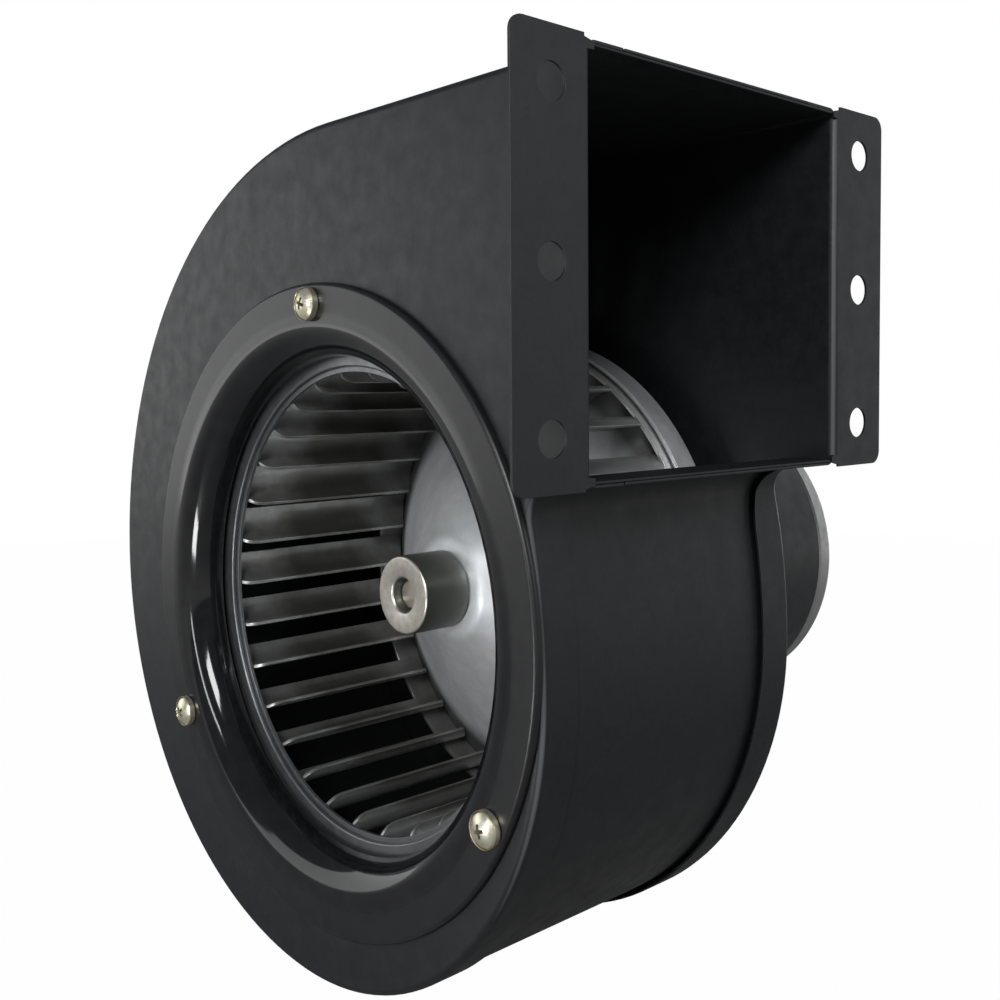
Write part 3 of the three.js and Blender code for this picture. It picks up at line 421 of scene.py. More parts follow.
def side_shell(name, outset, rim, hole_radius, mirrored):
    """One side of the housing as a bent sheet: plate, drawn rim, fold and outlet flange."""
    bm = bmesh.new()
    rows = add_plate_and_rim(bm, outset, rim, hole_radius)
    add_flange(bm, add_fold(bm, rows))
    bmesh.ops.remove_doubles(bm, verts=bm.verts, dist=1e-4)
    # The sheet is thickened inwards, so its faces have to look out of the housing.
    bmesh.ops.recalc_face_normals(bm, faces=bm.faces)
    plate = max((f for f in bm.faces if abs(f.normal.y) > 0.99), key=lambda f: f.calc_area())
    if plate.normal.y > 0:
        bmesh.ops.reverse_faces(bm, faces=bm.faces)
    if mirrored:
        for vertex in bm.verts:
            vertex.co.y = HOUSING_WIDTH - vertex.co.y
        bmesh.ops.reverse_faces(bm, faces=bm.faces)
    piece = finish_mesh(bm, name, turn_outward=False)
    thicken(piece)
    soften(piece, bevel=0.25, segments=3, angle=50)
    return piece


def thicken(piece):
    sheet = piece.modifiers.new("sheet", "SOLIDIFY")
    sheet.thickness = SHEET * MM
    sheet.offset = -1
    sheet.use_even_offset = True
    sheet.use_quality_normals = True


def add_hem(bm, end, height, fall):
    """A hem lying on the wrap between the side rims, at the outlet's edge."""
    x, z = end
    section = [(x, z), (x, z + height), (x - HEM_WIDTH, z + height - fall), (x - HEM_WIDTH, z - fall)]
    sides = []
    for y in (FRONT_RIM + 0.2, HOUSING_WIDTH - BACK_RIM - 0.2):
        sides.append([bm.verts.new(at(px, y, pz)) for px, pz in section])
    faces = [bm.faces.new(sides[0]), bm.faces.new(sides[1])]
    for i in range(4):
        n = (i + 1) % 4
        faces.append(bm.faces.new((sides[0][i], sides[0][n], sides[1][n], sides[1][i])))
    bmesh.ops.recalc_face_normals(bm, faces=faces)


def scroll_wrap():
    bm = bmesh.new()
    outline = scroll_outline(WRAP_INSET, WRAP_HIGH.x)
    rows = []
    for y in (WRAP_LOW.y, WRAP_HIGH.y):
        rows.append([bm.verts.new((x, y, z)) for x, z in outline])
    strip(bm, rows[0], rows[1])
    bmesh.ops.recalc_face_normals(bm, faces=bm.faces)
    top = max(bm.faces, key=lambda f: f.calc_center_median().z)
    if top.normal.z < 0:
        bmesh.ops.reverse_faces(bm, faces=bm.faces)
    piece = finish_mesh(bm, "fine_scroll_wrap", turn_outward=False)
    thicken(piece)
    cut_with(piece, [])  # no cut: the hems join the sheet once it has its thickness
    bm = bmesh.new()
    bm.from_mesh(piece.data)
    add_hem(bm, outline[0], HEM_SHEET, HEM_WIDTH * math.tan(math.radians(TOP_RISE)))
    add_hem(bm, outline[-1], -HEM_SHEET, 0.0)
    bm.to_mesh(piece.data)
    bm.free()
    soften(piece, angle=50)
    return piece


def inlet_ring():
    front = RING_LOW.y
    back = front + RING_SHEET
    bell_y = front + BELL_RADIUS
    bell_radius = THROAT_RADIUS + BELL_RADIUS
    edge, lip = 1.1, 0.5
    profile = [(RING_RADIUS, back)]
    profile += arc(RING_RADIUS - edge, front + edge, edge, 0, -90, 6)
    profile += arc(bell_radius, bell_y, BELL_RADIUS, -90, -180, 20)
    profile += arc(THROAT_RADIUS + lip, THROAT_END_Y - lip, lip, 180, 0, 6)
    profile += arc(bell_radius, bell_y, BELL_RADIUS - 2 * lip, -180, -120, 12)
    profile.append((bell_radius, back))
    piece = lathe_piece("fine_inlet_ring", profile, 240)
    soften(piece, bevel=0)
    return piece


def cross_recess_arm(cx, top_y, cz, turn):
    """The cutter for one slot of the cross. It narrows towards the bottom of the slot."""
    length, depth, width = 4.6, 2.2, 1.0
    bottom_length, bottom_width = 0.35, 0.6  # shares of the size at the head's top
    arm = bmesh.new()
    bmesh.ops.create_cube(arm, size=1.0)
    bmesh.ops.scale(arm, verts=arm.verts, vec=(length, 2 * depth, width))
    for vertex in arm.verts:
        if vertex.co.y > 0:
            vertex.co.x *= bottom_length
            vertex.co.z *= bottom_width
    bmesh.ops.rotate(arm, verts=arm.verts, matrix=Matrix.Rotation(math.radians(turn), 3, "Y"))
    bmesh.ops.translate(arm, verts=arm.verts, vec=(cx, top_y, cz))
    return finish_mesh(arm, "cutter")


def pan_head_screw(name, node, turn):
    """A pan-head screw with a cross recess, drawn at the place of the CAD screw."""
    low, high = local_box(node)
    cx, _, cz = centre(node)
    head_radius, head_height, shank_radius = 4.0, 2.7, 1.9
    dome_radius, shoulder, shoulder_y, edge = head_radius + 1.6, 0.5, 1.35, 0.15
    dome = arc(0, dome_radius, dome_radius, -90, -48, 8)
    profile = [(r, y) for r, y in dome if r < head_radius - shoulder / 2]
    profile += arc(head_radius - shoulder, shoulder_y, shoulder, -40, 0, 3)
    profile += [(head_radius, head_height - edge), (head_radius - edge, head_height)]
    profile += [(shank_radius, head_height), (shank_radius, high.y - low.y), (0, high.y - low.y)]
    bm = bmesh.new()
    add_lathe(bm, profile, 48)
    bmesh.ops.translate(bm, verts=bm.verts, vec=(cx, low.y, cz))
    piece = finish_mesh(bm, name)
    cut_with(piece, [cross_recess_arm(cx, low.y, cz, turn + 90 * quarter) for quarter in (0, 1)])
    soften(piece, bevel=0, angle=35)
    return piece


# -- impeller meshes

DISC_SLOPE = (DISC_HIGH.y - DISC_LOW.y) / (WHEEL_RADIUS - DISC_FLAT_RADIUS)


def disc_front(radius):
    return DISC_LOW.y + DISC_SLOPE * max(0.0, radius - DISC_FLAT_RADIUS)


def wheel_front_ring():
    width, lip, edge = 7.5, 0.5, 1.3
    inner = WHEEL_RADIUS - width
    skirt_inner = BLADE_OUTER + 0.3
    under = CAGE_LOW.y - 0.1
    front = WHEEL_LOW.y
    profile = [(inner, under), (inner, front + lip)]
    profile += arc(inner + lip, front + lip, lip, 180, 270, 4)[1:]
    profile += arc(WHEEL_RADIUS - edge, front + edge, edge, -90, 0, 8)
    profile += [(WHEEL_RADIUS, WHEEL_HIGH.y), (skirt_inner, WHEEL_HIGH.y), (skirt_inner, under)]
    piece = lathe_piece("fine_impeller_front_ring", profile, 200)
    soften(piece, bevel=0.15, angle=50)
    return piece


def blade_section(share, depth):
    """A point of the blade from its inner edge (0) to its tip (1), depth below its outer face."""
    tip_radius = BLADE_OUTER - 0.2
    tip_r = tip_radius * math.cos(BLADE_LEAD) - BLADE_INNER
    tip_t = tip_radius * math.sin(BLADE_LEAD)
    radius = (tip_r ** 2 + tip_t ** 2) / (2 * tip_t)
    end = math.atan2(tip_t - radius, tip_r)
    angle = math.pi / 2 + (-end - math.pi / 2) * share
    return BLADE_INNER + (radius - depth) * math.cos(angle), -radius + (radius - depth) * math.sin(angle)


def add_blade(bm, turn):
    """One curved blade with a rounded front corner at its inner edge."""
    columns, rows = 10, 6
    crowding = 1.3  # brings the columns closer together towards the round corner
    band_overlap, disc_gap = 0.3, 0.7
    face = [((i / columns) ** crowding, 0.0) for i in range(columns + 1)]
    back = [(share, BLADE_SHEET) for share, _ in face]
    loop = []
    for share, depth in face + back[::-1]:
        x, z = blade_section(share, depth)
        radius = math.hypot(x, z)
        reach = min(1.0, max(0.0, (radius - BLADE_INNER) / BLADE_CORNER))
        corner = BLADE_CORNER * (1 - math.sqrt(1 - (1 - reach) ** 2))
        start = CAGE_LOW.y + BAND_SHEET + corner - band_overlap
        end = disc_front(radius) - disc_gap
        px = x * math.cos(turn) - z * math.sin(turn)
        pz = x * math.sin(turn) + z * math.cos(turn)
        loop.append([bm.verts.new((px, start + (end - start) * j / rows, pz)) for j in range(rows + 1)])
    for i, line in enumerate(loop):
        strip(bm, line, loop[(i + 1) % len(loop)])
    for i in range(columns):
        for j in (0, rows):
            bm.faces.new((loop[i][j], loop[i + 1][j], loop[-2 - i][j], loop[-1 - i][j]))


def add_band(bm, inner, y0, y1):
    add_lathe(bm, [(inner, y0), (BLADE_OUTER, y0), (BLADE_OUTER, y1), (inner, y1)], 180)


def blade_cage():
    bm = bmesh.new()
    for k in range(BLADE_COUNT):
        add_blade(bm, BLADE_PHASE + 2 * math.pi * k / BLADE_COUNT)
    add_band(bm, BLADE_INNER + BLADE_CORNER / 2, CAGE_LOW.y, CAGE_LOW.y + BAND_SHEET)
    add_band(bm, BLADE_OUTER - BAND_SHEET, REAR_BAND_Y, CAGE_HIGH.y)
    piece = finish_mesh(bm, "fine_impeller_blade_cage")
    soften(piece, bevel=0.12, angle=50)
    return piece


def back_disc():
    bead = WHEEL_RADIUS - DISC_BEAD_WIDTH
    skirt = BLADE_OUTER + 0.3
    bore, bend, edge = 7.3, 1.5, 0.8
    profile = [(bore, DISC_LOW.y), (DISC_FLAT_RADIUS - bend, DISC_LOW.y)]
    for radius in (DISC_FLAT_RADIUS + bend, bead - 6, bead, skirt):
        profile.append((radius, disc_front(radius)))
    profile += [(skirt, DISC_SKIRT_Y), (WHEEL_RADIUS, DISC_SKIRT_Y)]
    profile += arc(WHEEL_RADIUS - edge, DISC_HIGH.y - edge, edge, 0, 90, 6)
    profile += [(bead, DISC_HIGH.y), (bead - 1, disc_front(bead - 1) + DISC_SHEET)]
    profile += [(DISC_FLAT_RADIUS, DISC_LOW.y + DISC_SHEET), (bore, DISC_LOW.y + DISC_SHEET)]
    piece = lathe_piece("fine_impeller_back_disc", profile, 200)
    soften(piece, bevel=0.15, angle=28)
    return piece


def hub():
    """A turned hub with a bore and the set screw's hole. Its spigot is staked over the disc."""
    radius, bore, chamfer, edge = HUB_HIGH.z, 4.1, 0.9, 0.7
    shoulder, step = DISC_LOW.y - 0.3, 0.4
    spigot, flare, lip = 7.0, 1.6, DISC_LOW.y + 1.5
    profile = [(bore, HUB_LOW.y + chamfer), (bore + chamfer, HUB_LOW.y)]
    profile += arc(radius - edge, HUB_LOW.y + edge, edge, -90, 0, 4)
    profile += [(radius, shoulder - step), (radius - step, shoulder), (spigot, shoulder), (spigot, lip)]
    profile += [(spigot + flare, lip), (spigot + flare / 2, HUB_HIGH.y), (bore, HUB_HIGH.y)]
    piece = lathe_piece("fine_impeller_hub", profile, 96)
    hole_radius = 2.5
    hole = rod_profile(hole_radius, 0, SIDE_CUT_END)
    cut_with(piece, [sideways_lathe("cutter", hole, centre("hub_set_screw")[1], 32)])
    soften(piece, bevel=0.1, angle=50)
    return piece


def set_screw():
    """Headless screw with a hexagon socket, in the hub's -X side."""
    low, high = local_box("hub_set_screw")
    radius, edge, socket_radius, socket_depth = (high.y - low.y) / 2, 0.3, 1.3, 2.0
    y = centre("hub_set_screw")[1]
    profile = [(0, -high.x), (radius, -high.x), (radius, -low.x - edge), (radius - edge, -low.x), (0, -low.x)]
    piece = sideways_lathe("fine_hub_set_screw", profile, y, 40)
    socket = rod_profile(socket_radius, -low.x - socket_depth, SIDE_CUT_END)
    cut_with(piece, [sideways_lathe("cutter", socket, y, 6)])
    soften(piece, bevel=0.05)
    return piece


def shaft():
    """The shaft, with a flat for the set screw on its -X side."""
    radius, body, chamfer = 4.0, SHAFT_HIGH.z, 0.6
    flat_x, flat_end, flat_step = -radius + 0.5, 37.0, 0.4
    shoulder, rear = 73.5, 138.7
    profile = [(0, SHAFT_LOW.y), (radius - chamfer, SHAFT_LOW.y), (radius, SHAFT_LOW.y + chamfer)]
    profile += [(radius, flat_end), (radius, flat_end + flat_step), (radius, shoulder), (body, shoulder)]
    profile += [(body, rear), (radius, rear), (radius, SHAFT_HIGH.y), (0, SHAFT_HIGH.y)]
    bm = bmesh.new()
    add_lathe(bm, profile, 64)
    for vertex in bm.verts:
        if vertex.co.y < flat_end + flat_step / 4:
            vertex.co.x = max(vertex.co.x, flat_x)
    piece = finish_mesh(bm, "fine_motor_shaft")
    soften(piece, bevel=0.08, angle=28)
    return piece


# -- motor meshes


def motor_bracket():
    """A disc behind the housing, with a bearing boss that reaches into it."""
    boss, bore, edge = 16.0, 6.0, 0.6
    face = HOUSING_WIDTH + 0.3
    can_y = CAN_LOW.y - 0.3
    spigot = MOTOR_RADIUS - 1.3
    web_y, seat_y = face + 3.5, 66.1
    pocket, pocket_floor = 34.0, 33.0
    profile = [(bore, BRACKET_LOW.y), (boss, BRACKET_LOW.y), (boss, face), (MOTOR_RADIUS - edge, face)]
    profile += [(MOTOR_RADIUS, face + edge), (MOTOR_RADIUS, can_y), (spigot, can_y)]
    profile += [(spigot, BRACKET_HIGH.y), (pocket, BRACKET_HIGH.y), (pocket_floor, web_y)]
    profile += [(BEARING_SEAT_RADIUS, web_y), (BEARING_SEAT_RADIUS, seat_y), (bore, seat_y)]
    piece = lathe_piece("fine_motor_front_bracket", profile)
    soften(piece, bevel=0.3, segments=3, angle=40)
    return piece


def motor_can():
    inner = MOTOR_RADIUS - 1.0
    low, high = CAN_LOW.y, CAN_HIGH.y
    profile = [(inner, low), (MOTOR_RADIUS, low), (MOTOR_RADIUS, high), (inner, high)]
    piece = lathe_piece("fine_motor_can", profile, 180)
    hole_radius, cut_start, cut_end = 4.4, 30, 50
    hole = rod_profile(hole_radius, cut_start, cut_end)
    cut_with(piece, [sideways_lathe("cutter", hole, centre("cable_grommet")[1], 32)])
    soften(piece, angle=50)
    return piece


def motor_rear_cover():
    """A cup with a shallow groove outside and a bearing cup inside."""
    rim, face, rear = CAN_HIGH.y + 0.3, COVER_HIGH.y - 1.0, COVER_HIGH.y
    inner = face - 3.2
    corner, chamfer, spigot = 2.6, 0.8, MOTOR_RADIUS - 1.3
    boss, groove_start, groove_end, ring = 12.0, 13.6, 32.6, 34.2
    cup, seat, shoulder = BEARING_SEAT_RADIUS + 2.6, BEARING_SEAT_RADIUS, BEARING_SEAT_RADIUS - 2.6
    cup_y, shoulder_y, floor_y = 138.5, 147.0, 149.0
    profile = [(0, rear), (boss, rear), (groove_start, face), (groove_end, face), (ring, rear)]
    profile += arc(MOTOR_RADIUS - corner, rear - corner, corner, 90, 0, 10)
    profile += [(MOTOR_RADIUS, rim + chamfer), (MOTOR_RADIUS - chamfer, rim), (spigot, rim)]
    profile += [(spigot, inner), (cup, inner), (cup, cup_y), (seat, cup_y), (seat, shoulder_y)]
    profile += [(shoulder, shoulder_y), (shoulder, floor_y), (0, floor_y)]
    piece = lathe_piece("fine_motor_rear_cover", profile)
    bolt_hole, counterbore, counterbore_y = 2.3, 4.3, rear - 2.6
    cutters = []
    for k in range(1, 5):
        cx, _, cz = centre(f"motor_tie_bolt_{k}")
        cutters.append(rod_cutter(bolt_hole, rim - 4, rear + 1, cx, cz))
        cutters.append(rod_cutter(counterbore, counterbore_y, rear + 1, cx, cz, 48))
    cut_with(piece, cutters)
    soften(piece, bevel=0, angle=35)
    return piece


def tie_bolt(k):
    """A hexagon-headed through bolt."""
    low, high = local_box(f"motor_tie_bolt_{k}")
    cx, _, cz = centre(f"motor_tie_bolt_{k}")
    radius, tip, head_radius, head_edge = 1.9, 0.3, 3.7, (0.5, 0.4)
    head_y, shank_end = high.y - 2.7, high.y - 2.5
    shank = [(0, low.y), (radius - tip, low.y), (radius, low.y + tip), (radius, shank_end), (0, shank_end)]
    head = [(0, head_y), (head_radius, head_y), (head_radius, high.y - head_edge[1])]
    head += [(head_radius - head_edge[0], high.y), (0, high.y)]
    bm = bmesh.new()
    add_lathe(bm, shank, 32)
    add_lathe(bm, head, 6)
    bmesh.ops.translate(bm, verts=bm.verts, vec=(cx, 0, cz))
    piece = finish_mesh(bm, f"fine_motor_tie_bolt_{k}")
    soften(piece, bevel=0.12, angle=30)
    return piece


# -- cable meshes


def cable_grommet():
    """A rubber bush in the can's wall: a groove for the wall, a flange and a sleeve."""
    low, high = local_box("cable_grommet")
    outer, inner = -low.x, -high.x
    wall, inside, play = MOTOR_RADIUS, MOTOR_RADIUS - 1.6, 0.3
    bore, groove, bulge, flange = 3.15, 4.2, 5.2, 6.6
    profile = [(bore, inner), (bulge, inner), (bulge, inside), (groove, inside)]
    profile += [(groove, wall + play), (flange, wall + play), (flange, wall + 1.2), (6.0, wall + 2.2)]
    profile += [(4.6, wall + 2.8), (bore + 0.9, outer), (bore, outer)]
    piece = sideways_lathe("fine_cable_grommet", profile, centre("cable_grommet")[1], 64)
    soften(piece, bevel=0.25, segments=3, angle=30)
    return piece


def cord(name, points, radius, sides=24):
    """A round cord through the points, with flat ends."""
    bm = bmesh.new()
    rings = []
    for i, point in enumerate(points):
        before = points[max(0, i - 1)]
        after = points[min(len(points) - 1, i + 1)]
        along = (after - before).normalized()
        side = along.cross(Vector((0, 1, 0))).normalized()
        other = along.cross(side)
        ring = []
        for k in range(sides):
            angle = 2 * math.pi * k / sides
            ring.append(bm.verts.new(point + radius * (math.cos(angle) * side + math.sin(angle) * other)))
        rings.append(ring)
    for first, second in zip(rings, rings[1:]):
        for k in range(sides):
            n = (k + 1) % sides
            bm.faces.new((first[k], first[n], second[n], second[k]))
    bm.faces.new(rings[0])
    bm.faces.new(rings[-1])
    piece = finish_mesh(bm, name)
    soften(piece, bevel=0.15, angle=50)
    return piece


def bezier(p0, p1, p2, p3, steps):
    points = []
    for i in range(steps + 1):
        t = i / steps
        a, b, c, d = (1 - t) ** 3, 3 * t * (1 - t) ** 2, 3 * t * t * (1 - t), t ** 3
        points.append(a * p0 + b * p1 + c * p2 + d * p3)
    return points


def motor_cable():
    low, high = local_box("motor_cable")
    y = centre("motor_cable")[1]
    radius = 2.95
    start = Vector((high.x, y, 0))
    bend = Vector((-MOTOR_RADIUS - 5, y, 0))
    middle = Vector((CABLE_BEND_X, y, 0))
    low_middle = Vector((CABLE_BEND_X, y, low.z / 4))
    end = Vector((CABLE_BEND_X, y, low.z))
    return cord("fine_motor_cable", [start] + bezier(bend, middle, low_middle, end, 32), radius, 32)


def cable_core(node):
    """One insulated core, bent the way its CAD solid leans."""
    low, high = local_box(node)
    jacket_y = centre("motor_cable")[1]
    radius = 0.88
    lean_x = {"cable_core_live": -1.0, "cable_core_neutral": 1.0, "cable_core_earth": 0.0}[node]
    lean_y = 1.0 if node == "cable_core_earth" else -0.5
    spread_x, spread_y, end_ratio, bow = 1.2, 1.4, 3, 0.5
    top = Vector((CABLE_BEND_X + spread_x * lean_x, jacket_y + spread_y * lean_y, high.z))
    end_x = CABLE_BEND_X + end_ratio * spread_x * lean_x
    end = Vector((end_x, jacket_y + end_ratio * spread_y * lean_y, low.z))
    middle = (top + end) / 2 - Vector((bow * lean_x, bow * lean_y, 0))
    return cord("fine_" + node, bezier(top, middle, middle, end, 12), radius, 20)


# -- materials

PATTERN_LOW, PATTERN_HIGH = 0.3, 0.7  # the values of a pattern between which colours blend


class Finish:
    """A procedural material. Lengths in its patterns are millimetres on the object."""

    def __init__(self, name, colour, roughness, metallic=0.0):
        self.material = bpy.data.materials.new(name)
        self.material.use_nodes = True
        self.tree = self.material.node_tree
        self.surface = self.tree.nodes["Principled BSDF"]
        self.surface.inputs["Base Color"].default_value = (*colour, 1)
        self.surface.inputs["Roughness"].default_value = roughness
        self.surface.inputs["Metallic"].default_value = metallic
        self.colour = (*colour, 1)
        self.place = self.node("ShaderNodeTexCoord").outputs["Object"]
        self.height = None

    def node(self, kind, **settings):
        made = self.tree.nodes.new(kind)
        for key, value in settings.items():
            setattr(made, key, value)
        return made

    def link(self, start, end):
        self.tree.links.new(start, end)

    def noise(self, size, detail=3.0, stretch=(1, 1, 1)):
        """Noise with blotches about size millimetres across, longer along a stretched axis."""
        mapping = self.node("ShaderNodeMapping")
        mapping.inputs["Scale"].default_value = [1 / (s * size * MM) for s in stretch]
        self.link(self.place, mapping.inputs["Vector"])
        texture = self.node("ShaderNodeTexNoise")
        texture.inputs["Scale"].default_value = 1.0
        texture.inputs["Detail"].default_value = detail
        self.link(mapping.outputs["Vector"], texture.inputs["Vector"])
        return texture.outputs["Fac"]

    def from_shaft(self):
        """The way from the shaft line to the surface, square to the shaft, in millimetres."""
        shift = self.node("ShaderNodeVectorMath", operation="SUBTRACT")
        shift.inputs[1].default_value = ORIGIN
        self.link(self.place, shift.inputs[0])
        flat = self.node("ShaderNodeVectorMath", operation="MULTIPLY")
        flat.inputs[1].default_value = (1 / MM, 0, 1 / MM)
        self.link(shift.outputs[0], flat.inputs[0])
        return flat.outputs[0]

    def shaft_distance(self):
        """Distance from the shaft line in millimetres."""
        length = self.node("ShaderNodeVectorMath", operation="LENGTH")
        self.link(self.from_shaft(), length.inputs[0])
        return length.outputs["Value"]

    def facing_out(self):
        """How much a face looks away from the shaft line, from -1 to 1."""
        along = self.node("ShaderNodeVectorMath", operation="NORMALIZE")
        self.link(self.from_shaft(), along.inputs[0])
        dot = self.node("ShaderNodeVectorMath", operation="DOT_PRODUCT")
        self.link(self.node("ShaderNodeTexCoord").outputs["Normal"], dot.inputs[0])
        self.link(along.outputs[0], dot.inputs[1])
        return dot.outputs["Value"]

    def both(self, first, second):
        """The product of two values: high where both are high."""
        product = self.node("ShaderNodeMath", operation="MULTIPLY")
        self.link(first, product.inputs[0])
        self.link(second, product.inputs[1])
        return product.outputs[0]

    def depth(self):
        """Distance behind the housing's front face in millimetres."""
        parts = self.node("ShaderNodeSeparateXYZ")
        self.link(self.place, parts.inputs["Vector"])
        scale = self.node("ShaderNodeMath", operation="MULTIPLY_ADD")
        scale.inputs[1].default_value = 1 / MM
        scale.inputs[2].default_value = -ORIGIN.y / MM
        self.link(parts.outputs["Y"], scale.inputs[0])
        return scale.outputs[0]

    def cells(self, size):
        """Cells about size millimetres across, each with a value of its own."""
        texture = self.node("ShaderNodeTexVoronoi")
        texture.inputs["Scale"].default_value = 1 / (size * MM)
        self.link(self.place, texture.inputs["Vector"])
        separate = self.node("ShaderNodeSeparateColor")
        self.link(texture.outputs["Color"], separate.inputs["Color"])
        return separate.outputs["Red"]

    def span(self, value, low, high, from_low=PATTERN_LOW, from_high=PATTERN_HIGH):
        """Maps a pattern onto low..high."""
        remap = self.node("ShaderNodeMapRange")
        limits = {"From Min": from_low, "From Max": from_high, "To Min": low, "To Max": high}
        for key, number in limits.items():
            remap.inputs[key].default_value = number
        self.link(value, remap.inputs["Value"])
        return remap.outputs["Result"]

    def pattern(self, value, from_low=0, from_high=1):
        """Makes a pattern that vary_colour can read from a value between from_low and from_high."""
        return self.span(value, PATTERN_LOW, PATTERN_HIGH, from_low, from_high)

    def vary_colour(self, value, other, amount=1.0):
        """Blends towards another colour where the pattern is high."""
        mix = self.node("ShaderNodeMix", data_type="RGBA")
        mix.inputs["A"].default_value = self.colour
        mix.inputs["B"].default_value = (*other, 1)
        current = self.surface.inputs["Base Color"]
        if current.is_linked:
            self.link(current.links[0].from_socket, mix.inputs["A"])
        self.link(self.span(value, 0, amount), mix.inputs["Factor"])
        self.link(mix.outputs["Result"], self.surface.inputs["Base Color"])

    def vary_roughness(self, value, low, high, from_low=PATTERN_LOW, from_high=PATTERN_HIGH):
        self.link(self.span(value, low, high, from_low, from_high), self.surface.inputs["Roughness"])

    def bump(self, value, depth, strength=1.0):
        """Adds relief of depth millimetres."""
        relief = self.node("ShaderNodeBump")
        relief.inputs["Strength"].default_value = strength
        relief.inputs["Distance"].default_value = depth * MM
        self.link(value, relief.inputs["Height"])
        if self.height is not None:
            self.link(self.height, relief.inputs["Normal"])
        self.height = relief.outputs["Normal"]
        self.link(self.height, self.surface.inputs["Normal"])

    def bend_highlight(self):
        """High along a bend that looks between the discharge direction and the inlet's, where a highlight is
        painted.
        """
        parts = self.node("ShaderNodeSeparateXYZ")
        self.link(self.node("ShaderNodeNewGeometry").outputs["Normal"], parts.inputs["Vector"])
        product = self.both(parts.outputs["X"], parts.outputs["Y"])
        return self.span(product, PATTERN_HIGH, PATTERN_LOW, -0.49, -0.40)

    def crevice_shade(self, reach):
        """High where other faces stand within reach millimetres, where shade is painted."""
        around = self.node("ShaderNodeAmbientOcclusion", samples=8)
        around.inputs["Distance"].default_value = reach * MM
        return self.span(around.outputs["AO"], PATTERN_HIGH, PATTERN_LOW, 0.25, 0.8)


def powder_coat():
    made = Finish("powder_coat", (0.0065, 0.0073, 0.0086), 0.5)
    made.vary_colour(made.noise(9.0, 5.0), (0.0100, 0.0108, 0.0124))
    made.vary_colour(made.noise(1.3, 2.0), (0.0045, 0.0050, 0.0060), 0.8)
    # Painted highlight: a lighter colour along the folds at the outlet, for the thin bright line that light
    # leaves there.
    made.vary_colour(made.bend_highlight(), (0.10, 0.105, 0.112), 0.8)
    made.vary_roughness(made.noise(5.0, 4.0), 0.44, 0.56)
    made.bump(made.noise(0.7, 2.0), 0.03, 0.6)
    made.bump(made.noise(14.0, 2.0), 0.08, 0.4)
    return made.material


def ring_enamel():
    """Satin on the flat, glossy where the bell was drawn smooth."""
    made = Finish("ring_enamel", (0.006, 0.006, 0.007), 0.3)
    made.vary_colour(made.noise(4.0, 4.0), (0.010, 0.0105, 0.011))
    bell_edge = THROAT_RADIUS + BELL_RADIUS
    made.vary_roughness(made.shaft_distance(), 0.09, 0.36, bell_edge, bell_edge + 2.5)
    made.bump(made.noise(16.0, 1.0), 0.12, 0.3)
    made.bump(made.noise(1.6, 2.0), 0.012, 0.4)
    return made.material


def zinc_yellow():
    made = Finish("zinc_yellow", (0.86, 0.81, 0.60), 0.26, 0.85)
    made.vary_colour(made.noise(1.6, 3.0), (0.85, 0.86, 0.80))
    made.vary_colour(made.noise(2.4, 2.0), (0.66, 0.56, 0.30), 0.6)
    # Painted shade: the cross recess and the other hollows of the screw are darkened.
    made.vary_colour(made.crevice_shade(0.9), (0.05, 0.045, 0.03), 0.95)
    made.vary_roughness(made.noise(1.8, 2.0), 0.26, 0.36)
    made.bump(made.noise(1.5, 1.0), 0.004, 0.2)
    return made.material


def galvanised():
    """Zinc-coated sheet, faintly spangled and streaked along the blades.

    Shade is painted half way along them and on the lip at the front, and light is painted on the faces that
    look outwards.
    """
    made = Finish("galvanised", (0.46, 0.47, 0.47), 0.36, 0.85)
    made.vary_colour(made.cells(2.6), (0.38, 0.39, 0.38), 0.6)
    made.vary_colour(made.noise(7.0, 5.0), (0.26, 0.25, 0.22), 0.6)
    # Painted shadow half way along the blades, where the inlet ring shades them.
    middle = made.both(made.span(made.depth(), 0, 1, 22, 30), made.span(made.depth(), 1, 0, 50, 58))
    blade_shade = made.both(middle, made.span(made.shaft_distance(), 1, 0, 61.5, 62.8))
    made.vary_colour(made.pattern(blade_shade), (0.10, 0.095, 0.08), 0.75)
    # Painted shade on the front lip and the blades' front corners, inside the inlet's throat.
    near_front = made.span(made.depth(), 1, 0, 10.5, 12.5)
    lip = made.both(near_front, made.span(made.shaft_distance(), 1, 0, 60.5, 62.5))
    made.vary_colour(made.pattern(lip), (0.17, 0.18, 0.19), 0.9)
    # Painted light: faces that look outwards from the shaft are made brighter.
    made.vary_colour(made.pattern(made.facing_out(), 0.1, 0.4), (0.92, 0.93, 0.92), 0.9)
    made.vary_roughness(made.noise(2.0, 4.0), 0.3, 0.46)
    made.bump(made.noise(1.2, 3.0), 0.02, 0.4)
    made.bump(made.noise(0.5, 2.0, (1, 12, 1)), 0.01, 0.5)
    return made.material


def disc_steel():
    """The spun disc is brighter and softer than the blades, with shade painted where they hide it."""
    made = Finish("disc_steel", (0.70, 0.72, 0.74), 0.42, 0.55)
    made.vary_colour(made.cells(1.8), (0.62, 0.64, 0.66), 0.6)
    made.vary_colour(made.noise(9.0, 5.0), (0.50, 0.52, 0.53), 0.6)
    # Painted shade on the disc between and behind the blades.
    beyond_blades = made.span(made.shaft_distance(), 0, 1, 46, 55)
    disc_shade = made.both(beyond_blades, made.span(made.shaft_distance(), 1, 0, 63.8, 64.4))
    made.vary_colour(made.pattern(disc_shade), (0.06, 0.06, 0.06), 0.95)
    made.vary_roughness(made.noise(3.0, 5.0), 0.36, 0.5)
    made.bump(made.noise(0.9, 3.0), 0.012, 0.4)
    return made.material


